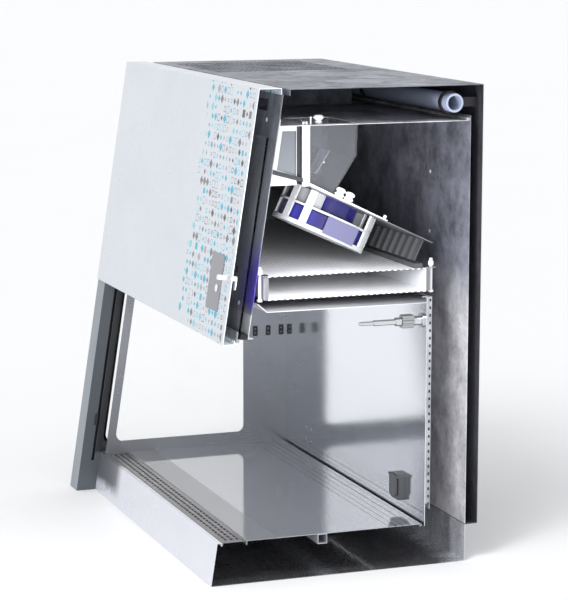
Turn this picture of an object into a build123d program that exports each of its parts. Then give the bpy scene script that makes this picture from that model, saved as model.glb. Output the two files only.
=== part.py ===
"""Sectioned class II biosafety cabinet with a sliding front sash.

Millimetres. +Z is up and the front faces -Y. The origin is on the floor, under the
centre of the whole cabinet. The right-hand end is open: every panel that runs across
the cabinet stops on the plane x = cut_x, so the air paths and the fan can be seen.
"""

from build123d import *
import os
from math import cos, radians, sin, tan

os.makedirs("parts", exist_ok=True)

# ---------------------------------------------------------------- driving dimensions
width = 1240.0            # left side panel to the open end
foot_depth = 860.0        # toe of the front column to the rear panel
height = 1355.0           # floor to the top of the front cover
lean = 8.7                # degrees that the front leans back
sheet = 2.0               # folded steel sheet
bend = 3.0                # bend radius, measured on the outside of a fold
seat_gap = 0.3            # between two pieces that only rest beside each other
slide_gap = 0.8           # each side of a piece that slides in a groove
bearing_gap = 0.05        # radial, round a turning shaft

side_cavity = 112.0       # side panel to the chamber's left wall
column_width = 77.0
column_depth = 64.0
column_wall = 3.0
cover_stand = 4.0         # the cover's face stands this far in front of the column
wall_behind = 66.0        # inner front wall, behind the column's front face
sash_behind = 40.0        # middle of the sash glass, behind the same face
cover_drop = 688.0        # top of the cabinet to the bottom edge of the front cover
roof_drop = 5.0           # top of the cabinet to the underside of the roof sheet
roof_setback = 82.7       # column's face to the roof's front edge, at the top
ceiling_drop = 103.0      # top of the cabinet to the underside of the inner ceiling
fascia_setback = 62.0     # the base fascia stands this far behind the column's toe
work_z = 121.2            # top of the worktop and of the front grille
rim_drop = 12.0           # depth of the folds round the worktop and the front grille
base_rear_height = 107.0
rear_cavity = 37.0        # rear panel to the plenum wall
plenum_depth = 125.0      # plenum wall to the chamber's rear face
wall_core = 14.0          # filling of the chamber's rear wall
chamber_drop = 588.0      # top of the cabinet to the top of the chamber's rear wall

filter_space = 16.0       # chamber's rear wall up to the underside of the filter
filter_height = 65.0
filter_wall = 10.0
filter_clearance = 22.2   # inner front wall to the filter, at the filter's top
filter_inset = 9.0        # the filter ends this far short of the deck's rear edge

deck_tilt = 25.1          # degrees, the fan deck falls towards the rear
deck_setback = 92.5       # inner front wall to the deck's front edge, at the ceiling
deck_drop = 164.0         # inner ceiling to the deck's front edge
deck_length = 398.0
deck_sheet = 3.0
fan_setback = 130.0       # along the deck, from its front edge to the fan's axis
fan_from_cut = 145.0      # fan axis to the open end
fan_radius = 135.0
fan_drop = 107.0          # deck top to the underside of the fan's ring

glass = 6.0
sash_height = 549.0       # along the slope

# ---------------------------------------------------------------- derived places
left_x = -width / 2
cut_x = width / 2
toe_y = -foot_depth / 2
rear_y = foot_depth / 2
plenum_y = rear_y - rear_cavity - sheet
chamber_rear_y = plenum_y - plenum_depth
wall_x = left_x + side_cavity
inside_width = cut_x - wall_x
across = Plane.YZ.offset(left_x)
slope = tan(radians(lean))
upslope = (0, sin(radians(lean)), cos(radians(lean)))
outward = (0, -cos(radians(lean)), sin(radians(lean)))


def front_y(z, behind=0.0):
    """Y of the leaning front at height z, a distance behind the column's face."""
    return toe_y + z * slope + behind


roof_z = height - roof_drop
roof_front_y = front_y(height, roof_setback)
ceiling_z = height - ceiling_drop
cover_low = height - cover_drop
chamber_top_z = height - chamber_drop
deck_front_y = front_y(ceiling_z, wall_behind + sheet) + deck_setback
deck_front_z = ceiling_z - deck_drop
filter_low = chamber_top_z + filter_space
filter_high = filter_low + filter_height
filter_front_y = front_y(filter_high, wall_behind + sheet) + filter_clearance
filter_rear_y = deck_front_y + deck_length * cos(radians(deck_tilt)) - filter_inset
filter_length = filter_rear_y - filter_front_y


def leaning(front, back, low, high):
    """Corners of a band between two heights that follows the leaning front."""
    return [
        (front_y(low, front), low),
        (front_y(low, back), low),
        (front_y(high, back), high),
        (front_y(high, front), high),
    ]


def sloped_plane(x, z, behind, normal=outward):
    """Plane on the leaning front: local X runs across, local Y runs up the slope."""
    return Plane(origin=(x, front_y(z, behind), z), x_dir=(1, 0, 0), z_dir=normal)


def folded(points, thickness=sheet, side=Side.LEFT, radius=bend):
    """Section of a sheet folded along the points, drawn in the sketch at hand."""
    with BuildLine() as path:
        FilletPolyline(*points, radius=radius)
        offset(amount=thickness, side=side)
    make_face(path.edges())


def save(piece, name):
    """Label a finished piece and write its STEP file."""
    piece.part.label = name
    export_step(piece.part, f"parts/{name}.step")


# ================================================================ base
pan_front = toe_y + fascia_setback + sheet * (1 + 2 * slope) + seat_gap
with BuildPart() as base_pan:
    with BuildSketch(across):
        folded([(pan_front, 0), (plenum_y + sheet, 0), (plenum_y + sheet, base_rear_height)])
    extrude(amount=width)
    with BuildSketch(Plane.XY):
        with Locations((left_x, toe_y)):
            Rectangle(column_width + 2 * seat_gap, 2 * (column_depth + sheet), mode=Mode.ADD)
    extrude(amount=2 * sheet, mode=Mode.SUBTRACT)
    with BuildSketch(across):
        with Locations((0, 0)):
            Rectangle(2 * foot_depth, 3 * base_rear_height)
    extrude(amount=sheet + seat_gap, mode=Mode.SUBTRACT)
save(base_pan, "base_pan")

fascia_foot = toe_y + fascia_setback
fascia_top = fascia_foot + work_z * slope
fascia_lip = 15.0
with BuildPart() as base_fascia:
    with BuildSketch(Plane.YZ.offset(left_x + column_width + seat_gap)):
        folded(
            [
                (fascia_foot, sheet * slope),
                (fascia_top, work_z),
                (fascia_top + fascia_lip, work_z),
                (fascia_top + fascia_lip, work_z - 10),
            ],
            side=Side.RIGHT,
        )
    extrude(amount=width - column_width - seat_gap)
save(base_fascia, "base_fascia")

# ---------------------------------------------------------------- front grille, worktop
grille_front = fascia_top + fascia_lip + seat_gap
grille_depth = 70.0
grille_rear = grille_front + grille_depth
slot_pitch = 26.0
slot_columns = int((inside_width - 30) / slot_pitch)
with BuildPart() as front_grille:
    with BuildSketch(Plane.YZ.offset(wall_x + seat_gap)):
        folded(
            [
                (grille_front, work_z - 9),
                (grille_front, work_z),
                (grille_rear, work_z),
                (grille_rear, work_z - rim_drop),
            ],
            side=Side.RIGHT,
        )
    extrude(amount=inside_width - seat_gap)
    with BuildSketch(Plane.XY.offset(work_z)):
        with Locations((wall_x + inside_width / 2, (grille_front + grille_rear) / 2)):
            with GridLocations(slot_pitch, 17, slot_columns, 3):
                Rectangle(20, 7)
    extrude(amount=-2 * sheet, mode=Mode.SUBTRACT)
save(front_grille, "front_grille")

worktop_rear = chamber_rear_y - 7
groove_pitch = 21.0
with BuildPart() as worktop:
    with BuildSketch(Plane.YZ.offset(wall_x + seat_gap)):
        folded(
            [
                (grille_rear + seat_gap, work_z - rim_drop),
                (grille_rear + seat_gap, work_z),
                (worktop_rear, work_z),
                (worktop_rear, work_z - 7),
                (worktop_rear - 9, work_z - 7),
            ],
            side=Side.RIGHT,
        )
    extrude(amount=inside_width - seat_gap)
    with BuildSketch(Plane.XY.offset(work_z)):
        with Locations((wall_x + inside_width / 2, worktop_rear - 24.5)):
            with GridLocations(1, groove_pitch, 1, 2):
                Rectangle(inside_width - 60, 2.5)
    extrude(amount=-0.8, mode=Mode.SUBTRACT)
save(worktop, "worktop")

# Hat under the worktop, and the ledge on the left wall that carries its left end.
hat_width = 28.0
hat_y = grille_rear + 223
ledge_depth = 30.0
ledge_z = work_z - rim_drop
with BuildPart() as worktop_supports:
    with BuildSketch(Plane.YZ.offset(wall_x + ledge_depth)):
        with Locations((hat_y, work_z - sheet - hat_width / 2)):
            Rectangle(hat_width, hat_width)
            Rectangle(hat_width - 2 * sheet, hat_width - 2 * sheet, mode=Mode.SUBTRACT)
    extrude(amount=inside_width - ledge_depth)
    with BuildSketch(Plane.XZ.offset(-(grille_front + 14))):
        with BuildLine():
            FilletPolyline(
                (wall_x + ledge_depth - seat_gap, ledge_z),
                (wall_x + seat_gap, ledge_z),
                (wall_x + seat_gap, ledge_z - ledge_depth),
                radius=bend,
            )
            offset(amount=sheet, side=Side.LEFT)
        make_face()
    extrude(amount=-(worktop_rear - grille_front - 32))
save(worktop_supports, "worktop_supports")

# ================================================================ left side
panel_front = column_depth + seat_gap
side_rear = rear_y - sheet - seat_gap
with BuildPart() as side_panel:
    with BuildSketch(across):
        Polygon(
            (front_y(0, panel_front), 0),
            (side_rear, 0),
            (side_rear, roof_z - seat_gap),
            (front_y(roof_z - seat_gap, panel_front), roof_z - seat_gap),
            align=None,
        )
    extrude(amount=sheet)

    window_low = 158.0
    window_high = cover_low - 27
    window_behind = 95.0
    window_rear_y = chamber_rear_y - 144
    window_corner = 25.0
    sight_shift = 46.0      # the outer opening reaches further back than the inner one

    with BuildSketch(across):
        Polygon(
            (front_y(window_low - 24, window_behind), window_low - 24),
            (window_rear_y + sight_shift, window_low - 24),
            (window_rear_y + sight_shift, window_high),
            (front_y(window_high, window_behind), window_high),
            align=None,
        )
        fillet(vertices(), radius=window_corner)
    extrude(amount=sheet, mode=Mode.SUBTRACT)
save(side_panel, "side_panel")


def window_outline(grow=0.0, low=window_low, rear=window_rear_y):
    """Window shape with leaning front edge and round corners, drawn in the sketch."""
    Polygon(
        (front_y(low, window_behind), low),
        (rear, low),
        (rear, window_high),
        (front_y(window_high, window_behind), window_high),
        align=None,
    )
    fillet(vertices(), radius=window_corner)
    if grow:
        offset(amount=grow)


liner_front = wall_behind + sheet + seat_gap
liner_low = 100.0
with BuildPart() as side_liner:
    with BuildSketch(Plane.YZ.offset(wall_x - sheet)):
        Polygon(
            (grille_front, liner_low),
            (plenum_y - seat_gap, liner_low),
            (plenum_y - seat_gap, ceiling_z - seat_gap),
            (front_y(ceiling_z - seat_gap, liner_front), ceiling_z - seat_gap),
            (front_y(work_z + seat_gap, liner_front), work_z + seat_gap),
            (grille_front, work_z + seat_gap),
            align=None,
        )
    extrude(amount=sheet)
    with BuildSketch(Plane.YZ.offset(wall_x - sheet)):
        window_outline()
    extrude(amount=sheet, mode=Mode.SUBTRACT)
save(side_liner, "side_liner")

pane_lap = 10.0
with BuildPart() as side_windows:
    with BuildSketch(Plane.YZ.offset(wall_x - sheet)):
        window_outline(grow=pane_lap)
    extrude(amount=-glass)
    with BuildSketch(Plane.YZ.offset(left_x + sheet)):
        window_outline(pane_lap, window_low - 24, window_rear_y + sight_shift)
    extrude(amount=glass)
save(side_windows, "side_windows")

gasket_width = 7.0
with BuildPart() as window_gaskets:
    with BuildSketch(Plane.YZ.offset(wall_x - sheet)):
        window_outline(grow=pane_lap + seat_gap + gasket_width)
    extrude(amount=-glass)
    with BuildSketch(Plane.YZ.offset(wall_x - sheet)):
        window_outline(grow=pane_lap + seat_gap)
    extrude(amount=-glass, mode=Mode.SUBTRACT)
save(window_gaskets, "window_gaskets")

port_pitch = 44.5
port_z = chamber_top_z - 280
with BuildPart() as service_ports:
    with BuildSketch(Plane.YZ.offset(wall_x)):
        with Locations((chamber_rear_y - 59, port_z)):
            with GridLocations(port_pitch, 1, 3, 1):
                RectangleRounded(15, 32, 2)
            with GridLocations(port_pitch, 14, 3, 2):
                Circle(3, mode=Mode.SUBTRACT)
    extrude(amount=3)
save(service_ports, "service_ports")

# ---------------------------------------------------------------- front column
cover_lip = 18.0          # fold down at the rear edge of the front cover
column_top = height - cover_lip - 1.5
slot_width = glass + 4
slot_low = 95.0
pulley_radius = 24.0
pulley_z = column_top - 46
pulley_y = front_y(pulley_z, column_depth / 2)
pulley_width = 16.0
weight_x = left_x + 29.0     # middle of the counterweight and of its pulley
axle_radius = 5.0
with BuildPart() as front_column:
    with BuildSketch(across):
        Polygon(*leaning(0, column_depth, 0, column_top), align=None)
    extrude(amount=column_width)
    with BuildSketch(Plane.YZ.offset(left_x + column_wall)):
        Polygon(
            *leaning(column_wall, column_depth - column_wall, -1, column_top + 1), align=None
        )
    extrude(amount=column_width - 2 * column_wall, mode=Mode.SUBTRACT)
    with BuildSketch(Plane.YZ.offset(left_x + column_width - column_wall)):
        Polygon(
            *leaning(
                sash_behind - slot_width / 2, sash_behind + slot_width / 2, slot_low, column_top + 1
            ),
            align=None,
        )
    extrude(amount=column_wall, mode=Mode.SUBTRACT)
    with BuildSketch(Plane.YZ.offset(left_x + column_wall)):
        with Locations((pulley_y, pulley_z)):
            Circle(axle_radius)
    extrude(amount=weight_x + pulley_width / 2 + 4 - left_x - column_wall)
save(front_column, "front_column")

# The guide has a groove inside the column and a cheek on its inner side face.
groove_depth = 16.0
groove_half = glass / 2 + slide_gap
guide_x = left_x + column_width - column_wall
flange_x = guide_x + column_wall + seat_gap + sheet
with BuildPart() as sash_guide:
    with BuildSketch(Plane.YZ.offset(guide_x - seat_gap)):
        Polygon(*leaning(sash_behind - 6, sash_behind + 6, slot_low, column_top), align=None)
    extrude(amount=-groove_depth)
    with BuildSketch(Plane.YZ.offset(guide_x - seat_gap)):
        Polygon(
            *leaning(sash_behind - groove_half, sash_behind + groove_half, 0, height), align=None
        )
    extrude(amount=-(groove_depth - sheet), mode=Mode.SUBTRACT)
    with BuildSketch(Plane.YZ.offset(guide_x + column_wall + seat_gap)):
        Polygon(
            *leaning(sash_behind + slot_width / 2, column_depth, work_z + 1, column_top), align=None
        )
    extrude(amount=sheet)
save(sash_guide, "sash_guide")

stop_low = 211.0
stop_high = 245.0
with BuildPart() as sash_stop_block:
    with BuildSketch(Plane.YZ.offset(guide_x + column_wall + seat_gap)):
        Polygon(
            *leaning(sash_behind - 12, sash_behind + slot_width / 2 - seat_gap, stop_low, stop_high),
            align=None,
        )
        Polygon(
            *leaning(sash_behind - groove_half, sash_behind + 99, stop_low - 1, stop_high + 1),
            align=None,
            mode=Mode.SUBTRACT,
        )
    extrude(amount=7)
save(sash_stop_block, "sash_stop_block")

# ================================================================ rear walls
rear_wall_low = 114.0
with BuildPart() as chamber_rear_wall:
    with BuildSketch(Plane.YZ.offset(wall_x + seat_gap)):
        folded(
            [
                (chamber_rear_y, rear_wall_low),
                (chamber_rear_y, chamber_top_z),
                (chamber_rear_y - 14, chamber_top_z),
            ],
            side=Side.RIGHT,
        )
    extrude(amount=inside_width - seat_gap)
save(chamber_rear_wall, "chamber_rear_wall")

core_low = 178.0
core_front_y = chamber_rear_y + sheet
with BuildPart() as rear_wall_core:
    with BuildSketch(Plane.YZ.offset(wall_x + seat_gap)):
        with Locations((core_front_y, core_low)):
            Rectangle(wall_core, chamber_top_z - core_low, align=Align.MIN)
        with Locations((core_front_y + wall_core - sheet, core_low - 16)):
            Rectangle(sheet, 16, align=Align.MIN)
    extrude(amount=inside_width - seat_gap)
save(rear_wall_core, "rear_wall_core")

rear_low = base_rear_height + seat_gap
panel_start = left_x + sheet + seat_gap
with BuildPart() as rear_panel:
    with BuildSketch(across):
        folded([(plenum_y, rear_low), (rear_y, rear_low), (rear_y, roof_z - seat_gap)])
    extrude(amount=width)
    with BuildSketch(across):
        with Locations((side_rear + seat_gap / 2, rear_low)):
            Rectangle(2 * rear_cavity, 4 * bend, align=(Align.MAX, Align.CENTER))
    extrude(amount=panel_start - left_x, mode=Mode.SUBTRACT)
save(rear_panel, "rear_panel")

with BuildPart() as plenum_wall:
    with BuildSketch(Plane.YZ.offset(panel_start)):
        with Locations((plenum_y, rear_low + sheet + seat_gap)):
            Rectangle(sheet, ceiling_z + 12 - rear_low, align=Align.MIN)
    extrude(amount=cut_x - panel_start)
save(plenum_wall, "plenum_wall")

# ================================================================ ceiling and roof
duct_depth = 145.0
duct_front_y = deck_front_y
duct_rear_y = duct_front_y + duct_depth
duct_wall = 4.0
duct_width = 209.0
duct_near_x = cut_x - 26
duct_far_x = duct_near_x - duct_width
exhaust_width = 530.0
exhaust_left = left_x + 70
exhaust_right = exhaust_left + exhaust_width
pipe_y = rear_y - 86
pipe_radius = 26.0
exhaust_front_y = roof_front_y + 20
exhaust_rear_y = pipe_y - pipe_radius - 21
bead_radius = 4.0
ceiling_front = front_y(ceiling_z, liner_front)
with BuildPart() as ceiling_panel:
    with BuildSketch(Plane.YZ.offset(panel_start)):
        folded(
            [
                (ceiling_front + 3, ceiling_z + 20),
                (ceiling_front, ceiling_z),
                (plenum_y - seat_gap, ceiling_z),
                (plenum_y - seat_gap, ceiling_z + 9),
            ],
        )
    extrude(amount=cut_x - panel_start)
    with BuildSketch(Plane.XY.offset(ceiling_z)):
        with Locations(((duct_far_x + duct_near_x) / 2, (duct_front_y + duct_rear_y) / 2)):
            Rectangle(
                duct_near_x - duct_far_x - 2 * duct_wall,
                duct_rear_y - duct_front_y - 2 * duct_wall,
            )
        with Locations(
            ((exhaust_left + exhaust_right) / 2, (exhaust_front_y + exhaust_rear_y) / 2)
        ):
            Rectangle(exhaust_right - exhaust_left - 40, exhaust_rear_y - exhaust_front_y - 40)
    extrude(amount=sheet, mode=Mode.SUBTRACT)
    with BuildSketch(Plane.YZ.offset(panel_start)):
        with Locations((plenum_y - bead_radius - sheet - 1, ceiling_z + sheet + bead_radius - 0.8)):
            Circle(bead_radius)
    extrude(amount=cut_x - panel_start)
save(ceiling_panel, "ceiling_panel")

vent_left = exhaust_left + 20
vent_right = exhaust_right - 55
vent_front_y = exhaust_front_y + 15
vent_rear_y = exhaust_rear_y + 23
vent_centre = ((vent_left + vent_right) / 2, (vent_front_y + vent_rear_y) / 2)
vent_size = (vent_right - vent_left, vent_rear_y - vent_front_y)
vent_slot = (62.0, 8.0)
vent_bar = (10.0, 8.0)
vent_pitch = (vent_slot[0] + vent_bar[0], vent_slot[1] + vent_bar[1])
vent_columns = int((vent_size[0] - vent_bar[0]) / vent_pitch[0])
vent_rows = int((vent_size[1] - vent_bar[1]) / vent_pitch[1])
roof_top = roof_z + sheet
with BuildPart() as roof_panel:
    with BuildSketch(across):
        folded(
            [(roof_front_y, roof_z - 16), (roof_front_y, roof_top), (rear_y, roof_top)],
            side=Side.RIGHT,
        )
    extrude(amount=width)
    with BuildSketch(across):
        with Locations((roof_front_y, roof_z - 16)):
            Rectangle(4 * bend, 16, align=(Align.CENTER, Align.MIN))
    extrude(amount=panel_start - left_x, mode=Mode.SUBTRACT)
    with BuildSketch(Plane.XY.offset(roof_z)):
        with Locations(vent_centre):
            Rectangle(*vent_size)
    extrude(amount=sheet, mode=Mode.SUBTRACT)
save(roof_panel, "roof_panel")

with BuildPart() as exhaust_grille:
    with BuildSketch(Plane.XY.offset(roof_z)):
        with Locations(vent_centre):
            Rectangle(vent_size[0] - 2 * seat_gap, vent_size[1] - 2 * seat_gap)
            with GridLocations(*vent_pitch, vent_columns, vent_rows):
                Rectangle(*vent_slot, mode=Mode.SUBTRACT)
    extrude(amount=sheet)
save(exhaust_grille, "exhaust_grille")

case_wall = 3.0
case_low = ceiling_z + sheet + seat_gap
case_height = roof_z - case_low - seat_gap
with BuildPart() as exhaust_filter_case:
    with BuildSketch(Plane.XY.offset(case_low)):
        with Locations(
            ((exhaust_left + exhaust_right) / 2, (exhaust_front_y + exhaust_rear_y) / 2)
        ):
            Rectangle(exhaust_right - exhaust_left, exhaust_rear_y - exhaust_front_y)
            Rectangle(
                exhaust_right - exhaust_left - 2 * case_wall,
                exhaust_rear_y - exhaust_front_y - 2 * case_wall,
                mode=Mode.SUBTRACT,
            )
    extrude(amount=case_height)
save(exhaust_filter_case, "exhaust_filter_case")


def pleats(start, count, pitch, low, high, paper=2.5):
    """Zigzag paper section from start, drawn in the sketch at hand."""
    upper = [(start + i * pitch / 2, high if i % 2 else low + paper) for i in range(2 * count + 1)]
    lower = [(u, v - paper) for u, v in reversed(upper)]
    Polygon(*upper, *lower, align=None)


pleat_pitch = 17.0
pack_left = exhaust_left + case_wall + seat_gap
pack_pleats = int((exhaust_right - exhaust_left - 2 * case_wall - 2 * seat_gap) / pleat_pitch)
with BuildPart() as exhaust_filter_pack:
    with BuildSketch(Plane.XZ.offset(-(exhaust_front_y + case_wall + seat_gap))):
        pleats(pack_left, pack_pleats, pleat_pitch, case_low + 12, case_low + case_height - 23)
    extrude(amount=-(exhaust_rear_y - exhaust_front_y - 2 * case_wall - 2 * seat_gap))
save(exhaust_filter_pack, "exhaust_filter_pack")

# ================================================================ inner front wall
wall_low = cover_low + 13
wall_high = height - 17.0
notch_x = cut_x - 147
notch_z = wall_high - 36
with BuildPart() as inner_front_wall:
    with BuildSketch(Plane.YZ.offset(wall_x + seat_gap)):
        folded(
            [
                (front_y(wall_low, wall_behind) + 16, wall_low),
                (front_y(wall_low, wall_behind), wall_low),
                (front_y(wall_high, wall_behind), wall_high),
            ],
            side=Side.RIGHT,
        )
    extrude(amount=inside_width - seat_gap)
    with BuildSketch(Plane.YZ.offset(panel_start)):
        Polygon(
            *leaning(wall_behind, wall_behind + sheet / cos(radians(lean)), wall_low + 6, wall_high),
            align=None,
        )
    extrude(amount=wall_x + 1 - panel_start)
    with BuildSketch(Plane.XZ.offset(-front_y(notch_z, wall_behind) + 20)):
        with Locations((notch_x, notch_z)):
            RectangleRounded(84, 32, 3)
        with Locations((notch_x + 50, notch_z - 40)):
            Circle(5)
    extrude(amount=-40, mode=Mode.SUBTRACT)
save(inner_front_wall, "inner_front_wall")

seal_high = wall_low + 14
with BuildPart() as sash_seal:
    with BuildSketch(Plane.YZ.offset(flange_x + seat_gap)):
        Polygon(
            *leaning(sash_behind + glass / 2 + 1, wall_behind - seat_gap, wall_low, seal_high),
            align=None,
        )
        fillet(vertices(), radius=3)
    extrude(amount=cut_x - flange_x - seat_gap)
save(sash_seal, "sash_seal")

# ================================================================ front cover
cover_front = -cover_stand
cover_return = 34.0
cover_rear_y = roof_front_y - 22
hinge_y = roof_front_y - 10
hinge_z = height - 9.5
hinge_radius = 5.0
pin_radius = 2.5
knuckle = 20.0
hinge_places = [cut_x - 90, 0.0, left_x + 90]
lock_x = cut_x - 34
lock_z = cover_low + 178
lock_radius = 7.0
cover_top_y = front_y(height, cover_front)
with BuildPart() as front_cover:
    with BuildSketch(across):
        folded(
            [
                (cover_rear_y, height - cover_lip),
                (cover_rear_y, height),
                (cover_top_y, height),
                (front_y(cover_low, cover_front), cover_low),
                (front_y(cover_low, cover_front) + cover_return, cover_low),
                (front_y(cover_low, cover_front) + cover_return + 1.5, cover_low + 12),
            ],
        )
    extrude(amount=width)
    with BuildSketch(across):
        Polygon(
            *leaning(cover_front + sheet + 0.05, wall_behind, cover_low - 9, cover_low + 30),
            align=None,
        )
    extrude(amount=column_width + 2, mode=Mode.SUBTRACT)
    with Locations(sloped_plane(lock_x, lock_z, cover_front)):
        Hole(lock_radius + bearing_gap, depth=2 * sheet)
save(front_cover, "front_cover")

panel_x = cut_x - 127.5
panel_z = cover_low + 156
with BuildPart() as control_panel:
    with BuildSketch(sloped_plane(panel_x, panel_z, cover_front)):
        RectangleRounded(101, 156, 4)
    extrude(amount=2)
    chamfer(control_panel.faces().sort_by(Axis.Y)[0].edges(), length=0.6)
save(control_panel, "control_panel")

# Cover-side hinge leaves turn on pins that the roof-side knuckles hold.
leaf_plane = Plane.YZ
with BuildPart() as cover_leaves:
    for place in hinge_places:
        with BuildSketch(leaf_plane.offset(place - knuckle / 2 + seat_gap)):
            with Locations((hinge_y, hinge_z)):
                Circle(hinge_radius)
            with Locations(((cover_rear_y + hinge_y) / 2, hinge_z)):
                Rectangle(hinge_y - cover_rear_y, sheet)
            with Locations((hinge_y, hinge_z)):
                Circle(pin_radius + bearing_gap, mode=Mode.SUBTRACT)
        extrude(amount=knuckle - 2 * seat_gap)
save(cover_leaves, "cover_leaves")

with BuildPart() as roof_knuckles:
    for place in hinge_places:
        for start in (place - 1.5 * knuckle, place + 0.5 * knuckle):
            with BuildSketch(leaf_plane.offset(start)):
                with Locations((hinge_y, hinge_z)):
                    Circle(hinge_radius)
                with Locations(((roof_front_y + hinge_y) / 2, hinge_z)):
                    Rectangle(roof_front_y - hinge_y - 2 * seat_gap, sheet)
            extrude(amount=knuckle)
        with BuildSketch(leaf_plane.offset(place - knuckle)):
            with Locations((hinge_y, hinge_z)):
                Circle(pin_radius)
        extrude(amount=2 * knuckle)
save(roof_knuckles, "roof_knuckles")

# ---------------------------------------------------------------- cover lock
cam_depth = 22.0          # cam, behind the cover's face
cam_reach = 24.0
with BuildPart() as lock_knob:
    with BuildSketch(sloped_plane(lock_x, lock_z, cover_front)):
        Circle(lock_radius)
    extrude(amount=30)
    with BuildSketch(sloped_plane(lock_x, lock_z, cover_front)):
        Circle(lock_radius + 4)
    extrude(amount=4)
    with BuildSketch(sloped_plane(lock_x, lock_z, cover_front)):
        Circle(lock_radius)
    extrude(amount=-cam_depth)
    with BuildSketch(sloped_plane(lock_x, lock_z, cover_front).offset(-cam_depth)):
        with Locations((0, -cam_reach / 2)):
            SlotOverall(cam_reach + 14, 14, rotation=90)
    extrude(amount=-3)
    with BuildSketch(sloped_plane(lock_x, lock_z, cover_front).offset(30)):
        Rectangle(2, 9)
    extrude(amount=-4, mode=Mode.SUBTRACT)
save(lock_knob, "lock_knob")

catch_z = lock_z + 5
catch_x = cut_x - 166
with BuildPart() as cover_catch:
    with BuildSketch(sloped_plane(catch_x, catch_z, wall_behind)):
        RectangleRounded(46, 14, 3)
    extrude(amount=9)
save(cover_catch, "cover_catch")

# ================================================================ sash
sash_low = cover_low + 15
sash_left = guide_x - groove_depth + sheet + 2
sash_right = cut_x - 1
with BuildPart() as sash_glass:
    with BuildSketch(sloped_plane((sash_left + sash_right) / 2, sash_low, sash_behind)):
        with Locations((0, sash_height / 2)):
            Rectangle(sash_right - sash_left, sash_height)
    extrude(amount=glass / 2, both=True)
save(sash_glass, "sash_glass")

rail_left = left_x + column_width + 9
rail_foot = 10.0          # rail below the glass, along the slope
rail_rise = 20.0          # its leg in front of the glass
rail_leg = 3.0
rail_plane = Plane(
    origin=(rail_left, front_y(sash_low, sash_behind), sash_low), x_dir=upslope, z_dir=(1, 0, 0)
)
with BuildPart() as sash_rail:
    with BuildSketch(rail_plane):
        Polygon(
            (-rail_foot, -glass / 2),
            (-rail_foot, glass / 2 + seat_gap + rail_leg),
            (rail_rise, glass / 2 + seat_gap + rail_leg),
            (rail_rise, glass / 2 + seat_gap),
            (-seat_gap, glass / 2 + seat_gap),
            (-seat_gap, -glass / 2),
            align=None,
        )
    extrude(amount=sash_right - rail_left)
    fillet(sash_rail.edges().filter_by(Axis.X).group_by(Axis.Z)[0], radius=1.5)
save(sash_rail, "sash_rail")

weight_width = 44.0
weight_gap = 0.4          # between the weight and the column it slides in
weight_depth = column_depth - 2 * column_wall - 2 * weight_gap
weight_length = 560.0
weight_low = 60.0
with BuildPart() as counterweight:
    with BuildSketch(Plane.YZ.offset(weight_x - weight_width / 2)):
        mid = column_depth / 2
        Polygon(
            *leaning(
                mid - weight_depth / 2, mid + weight_depth / 2, weight_low, weight_low + weight_length
            ),
            align=None,
        )
    extrude(amount=weight_width)
    chamfer(counterweight.edges().filter_by(Axis.X), length=2)
save(counterweight, "counterweight")

with BuildPart() as sash_pulley:
    with BuildSketch(Plane.XY):
        with BuildLine():
            Polyline(
                (axle_radius + bearing_gap, -pulley_width / 2),
                (pulley_radius, -pulley_width / 2),
                (pulley_radius, -pulley_width / 2 + 3),
                (pulley_radius - 5, -1.5),
                (pulley_radius - 5, 1.5),
                (pulley_radius, pulley_width / 2 - 3),
                (pulley_radius, pulley_width / 2),
                (axle_radius + bearing_gap, pulley_width / 2),
                close=True,
            )
        make_face()
    revolve(axis=Axis.Y)
sash_pulley.part = sash_pulley.part.rotate(Axis.Z, 90).moved(
    Location((weight_x, pulley_y, pulley_z))
)
save(sash_pulley, "sash_pulley")

# ================================================================ fan deck and fan
tilt = radians(deck_tilt)
along = Vector(0, cos(tilt), -sin(tilt))
deck_normal = (0, sin(tilt), cos(tilt))
deck_front = Vector(cut_x, deck_front_y, deck_front_z)
fan_centre = deck_front + along * fan_setback - Vector(fan_from_cut, 0, 0)


def deck_plane(run, x=cut_x, rise=0.0):
    """Plane on the deck's top face: local X runs across, local Y runs down the deck."""
    spot = Vector(x, deck_front_y, deck_front_z) + along * run
    return Plane(origin=spot, x_dir=(1, 0, 0), z_dir=deck_normal).offset(rise)


fan_plane = Plane(origin=fan_centre, x_dir=(1, 0, 0), z_dir=deck_normal)
inlet_radius = 48.0
motor_radius = 78.0
duct_foot = 78.0
with BuildPart() as fan_deck:
    deck_width = cut_x - wall_x - seat_gap
    with BuildSketch(deck_plane(deck_length / 2, wall_x + seat_gap + deck_width / 2)):
        Rectangle(deck_width, deck_length)
    extrude(amount=-deck_sheet)
    with BuildSketch(deck_plane(duct_foot / 2 + 2, (duct_far_x + duct_near_x) / 2)):
        Rectangle(duct_near_x - duct_far_x - 30, duct_foot - 30)
    extrude(amount=-deck_sheet, mode=Mode.SUBTRACT)
    with BuildSketch(fan_plane):
        with PolarLocations(inlet_radius + 34, 8, start_angle=22.5):
            SlotCenterToCenter(26, 18, rotation=90)
    extrude(amount=-deck_sheet, mode=Mode.SUBTRACT)
save(fan_deck, "fan_deck")

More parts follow.
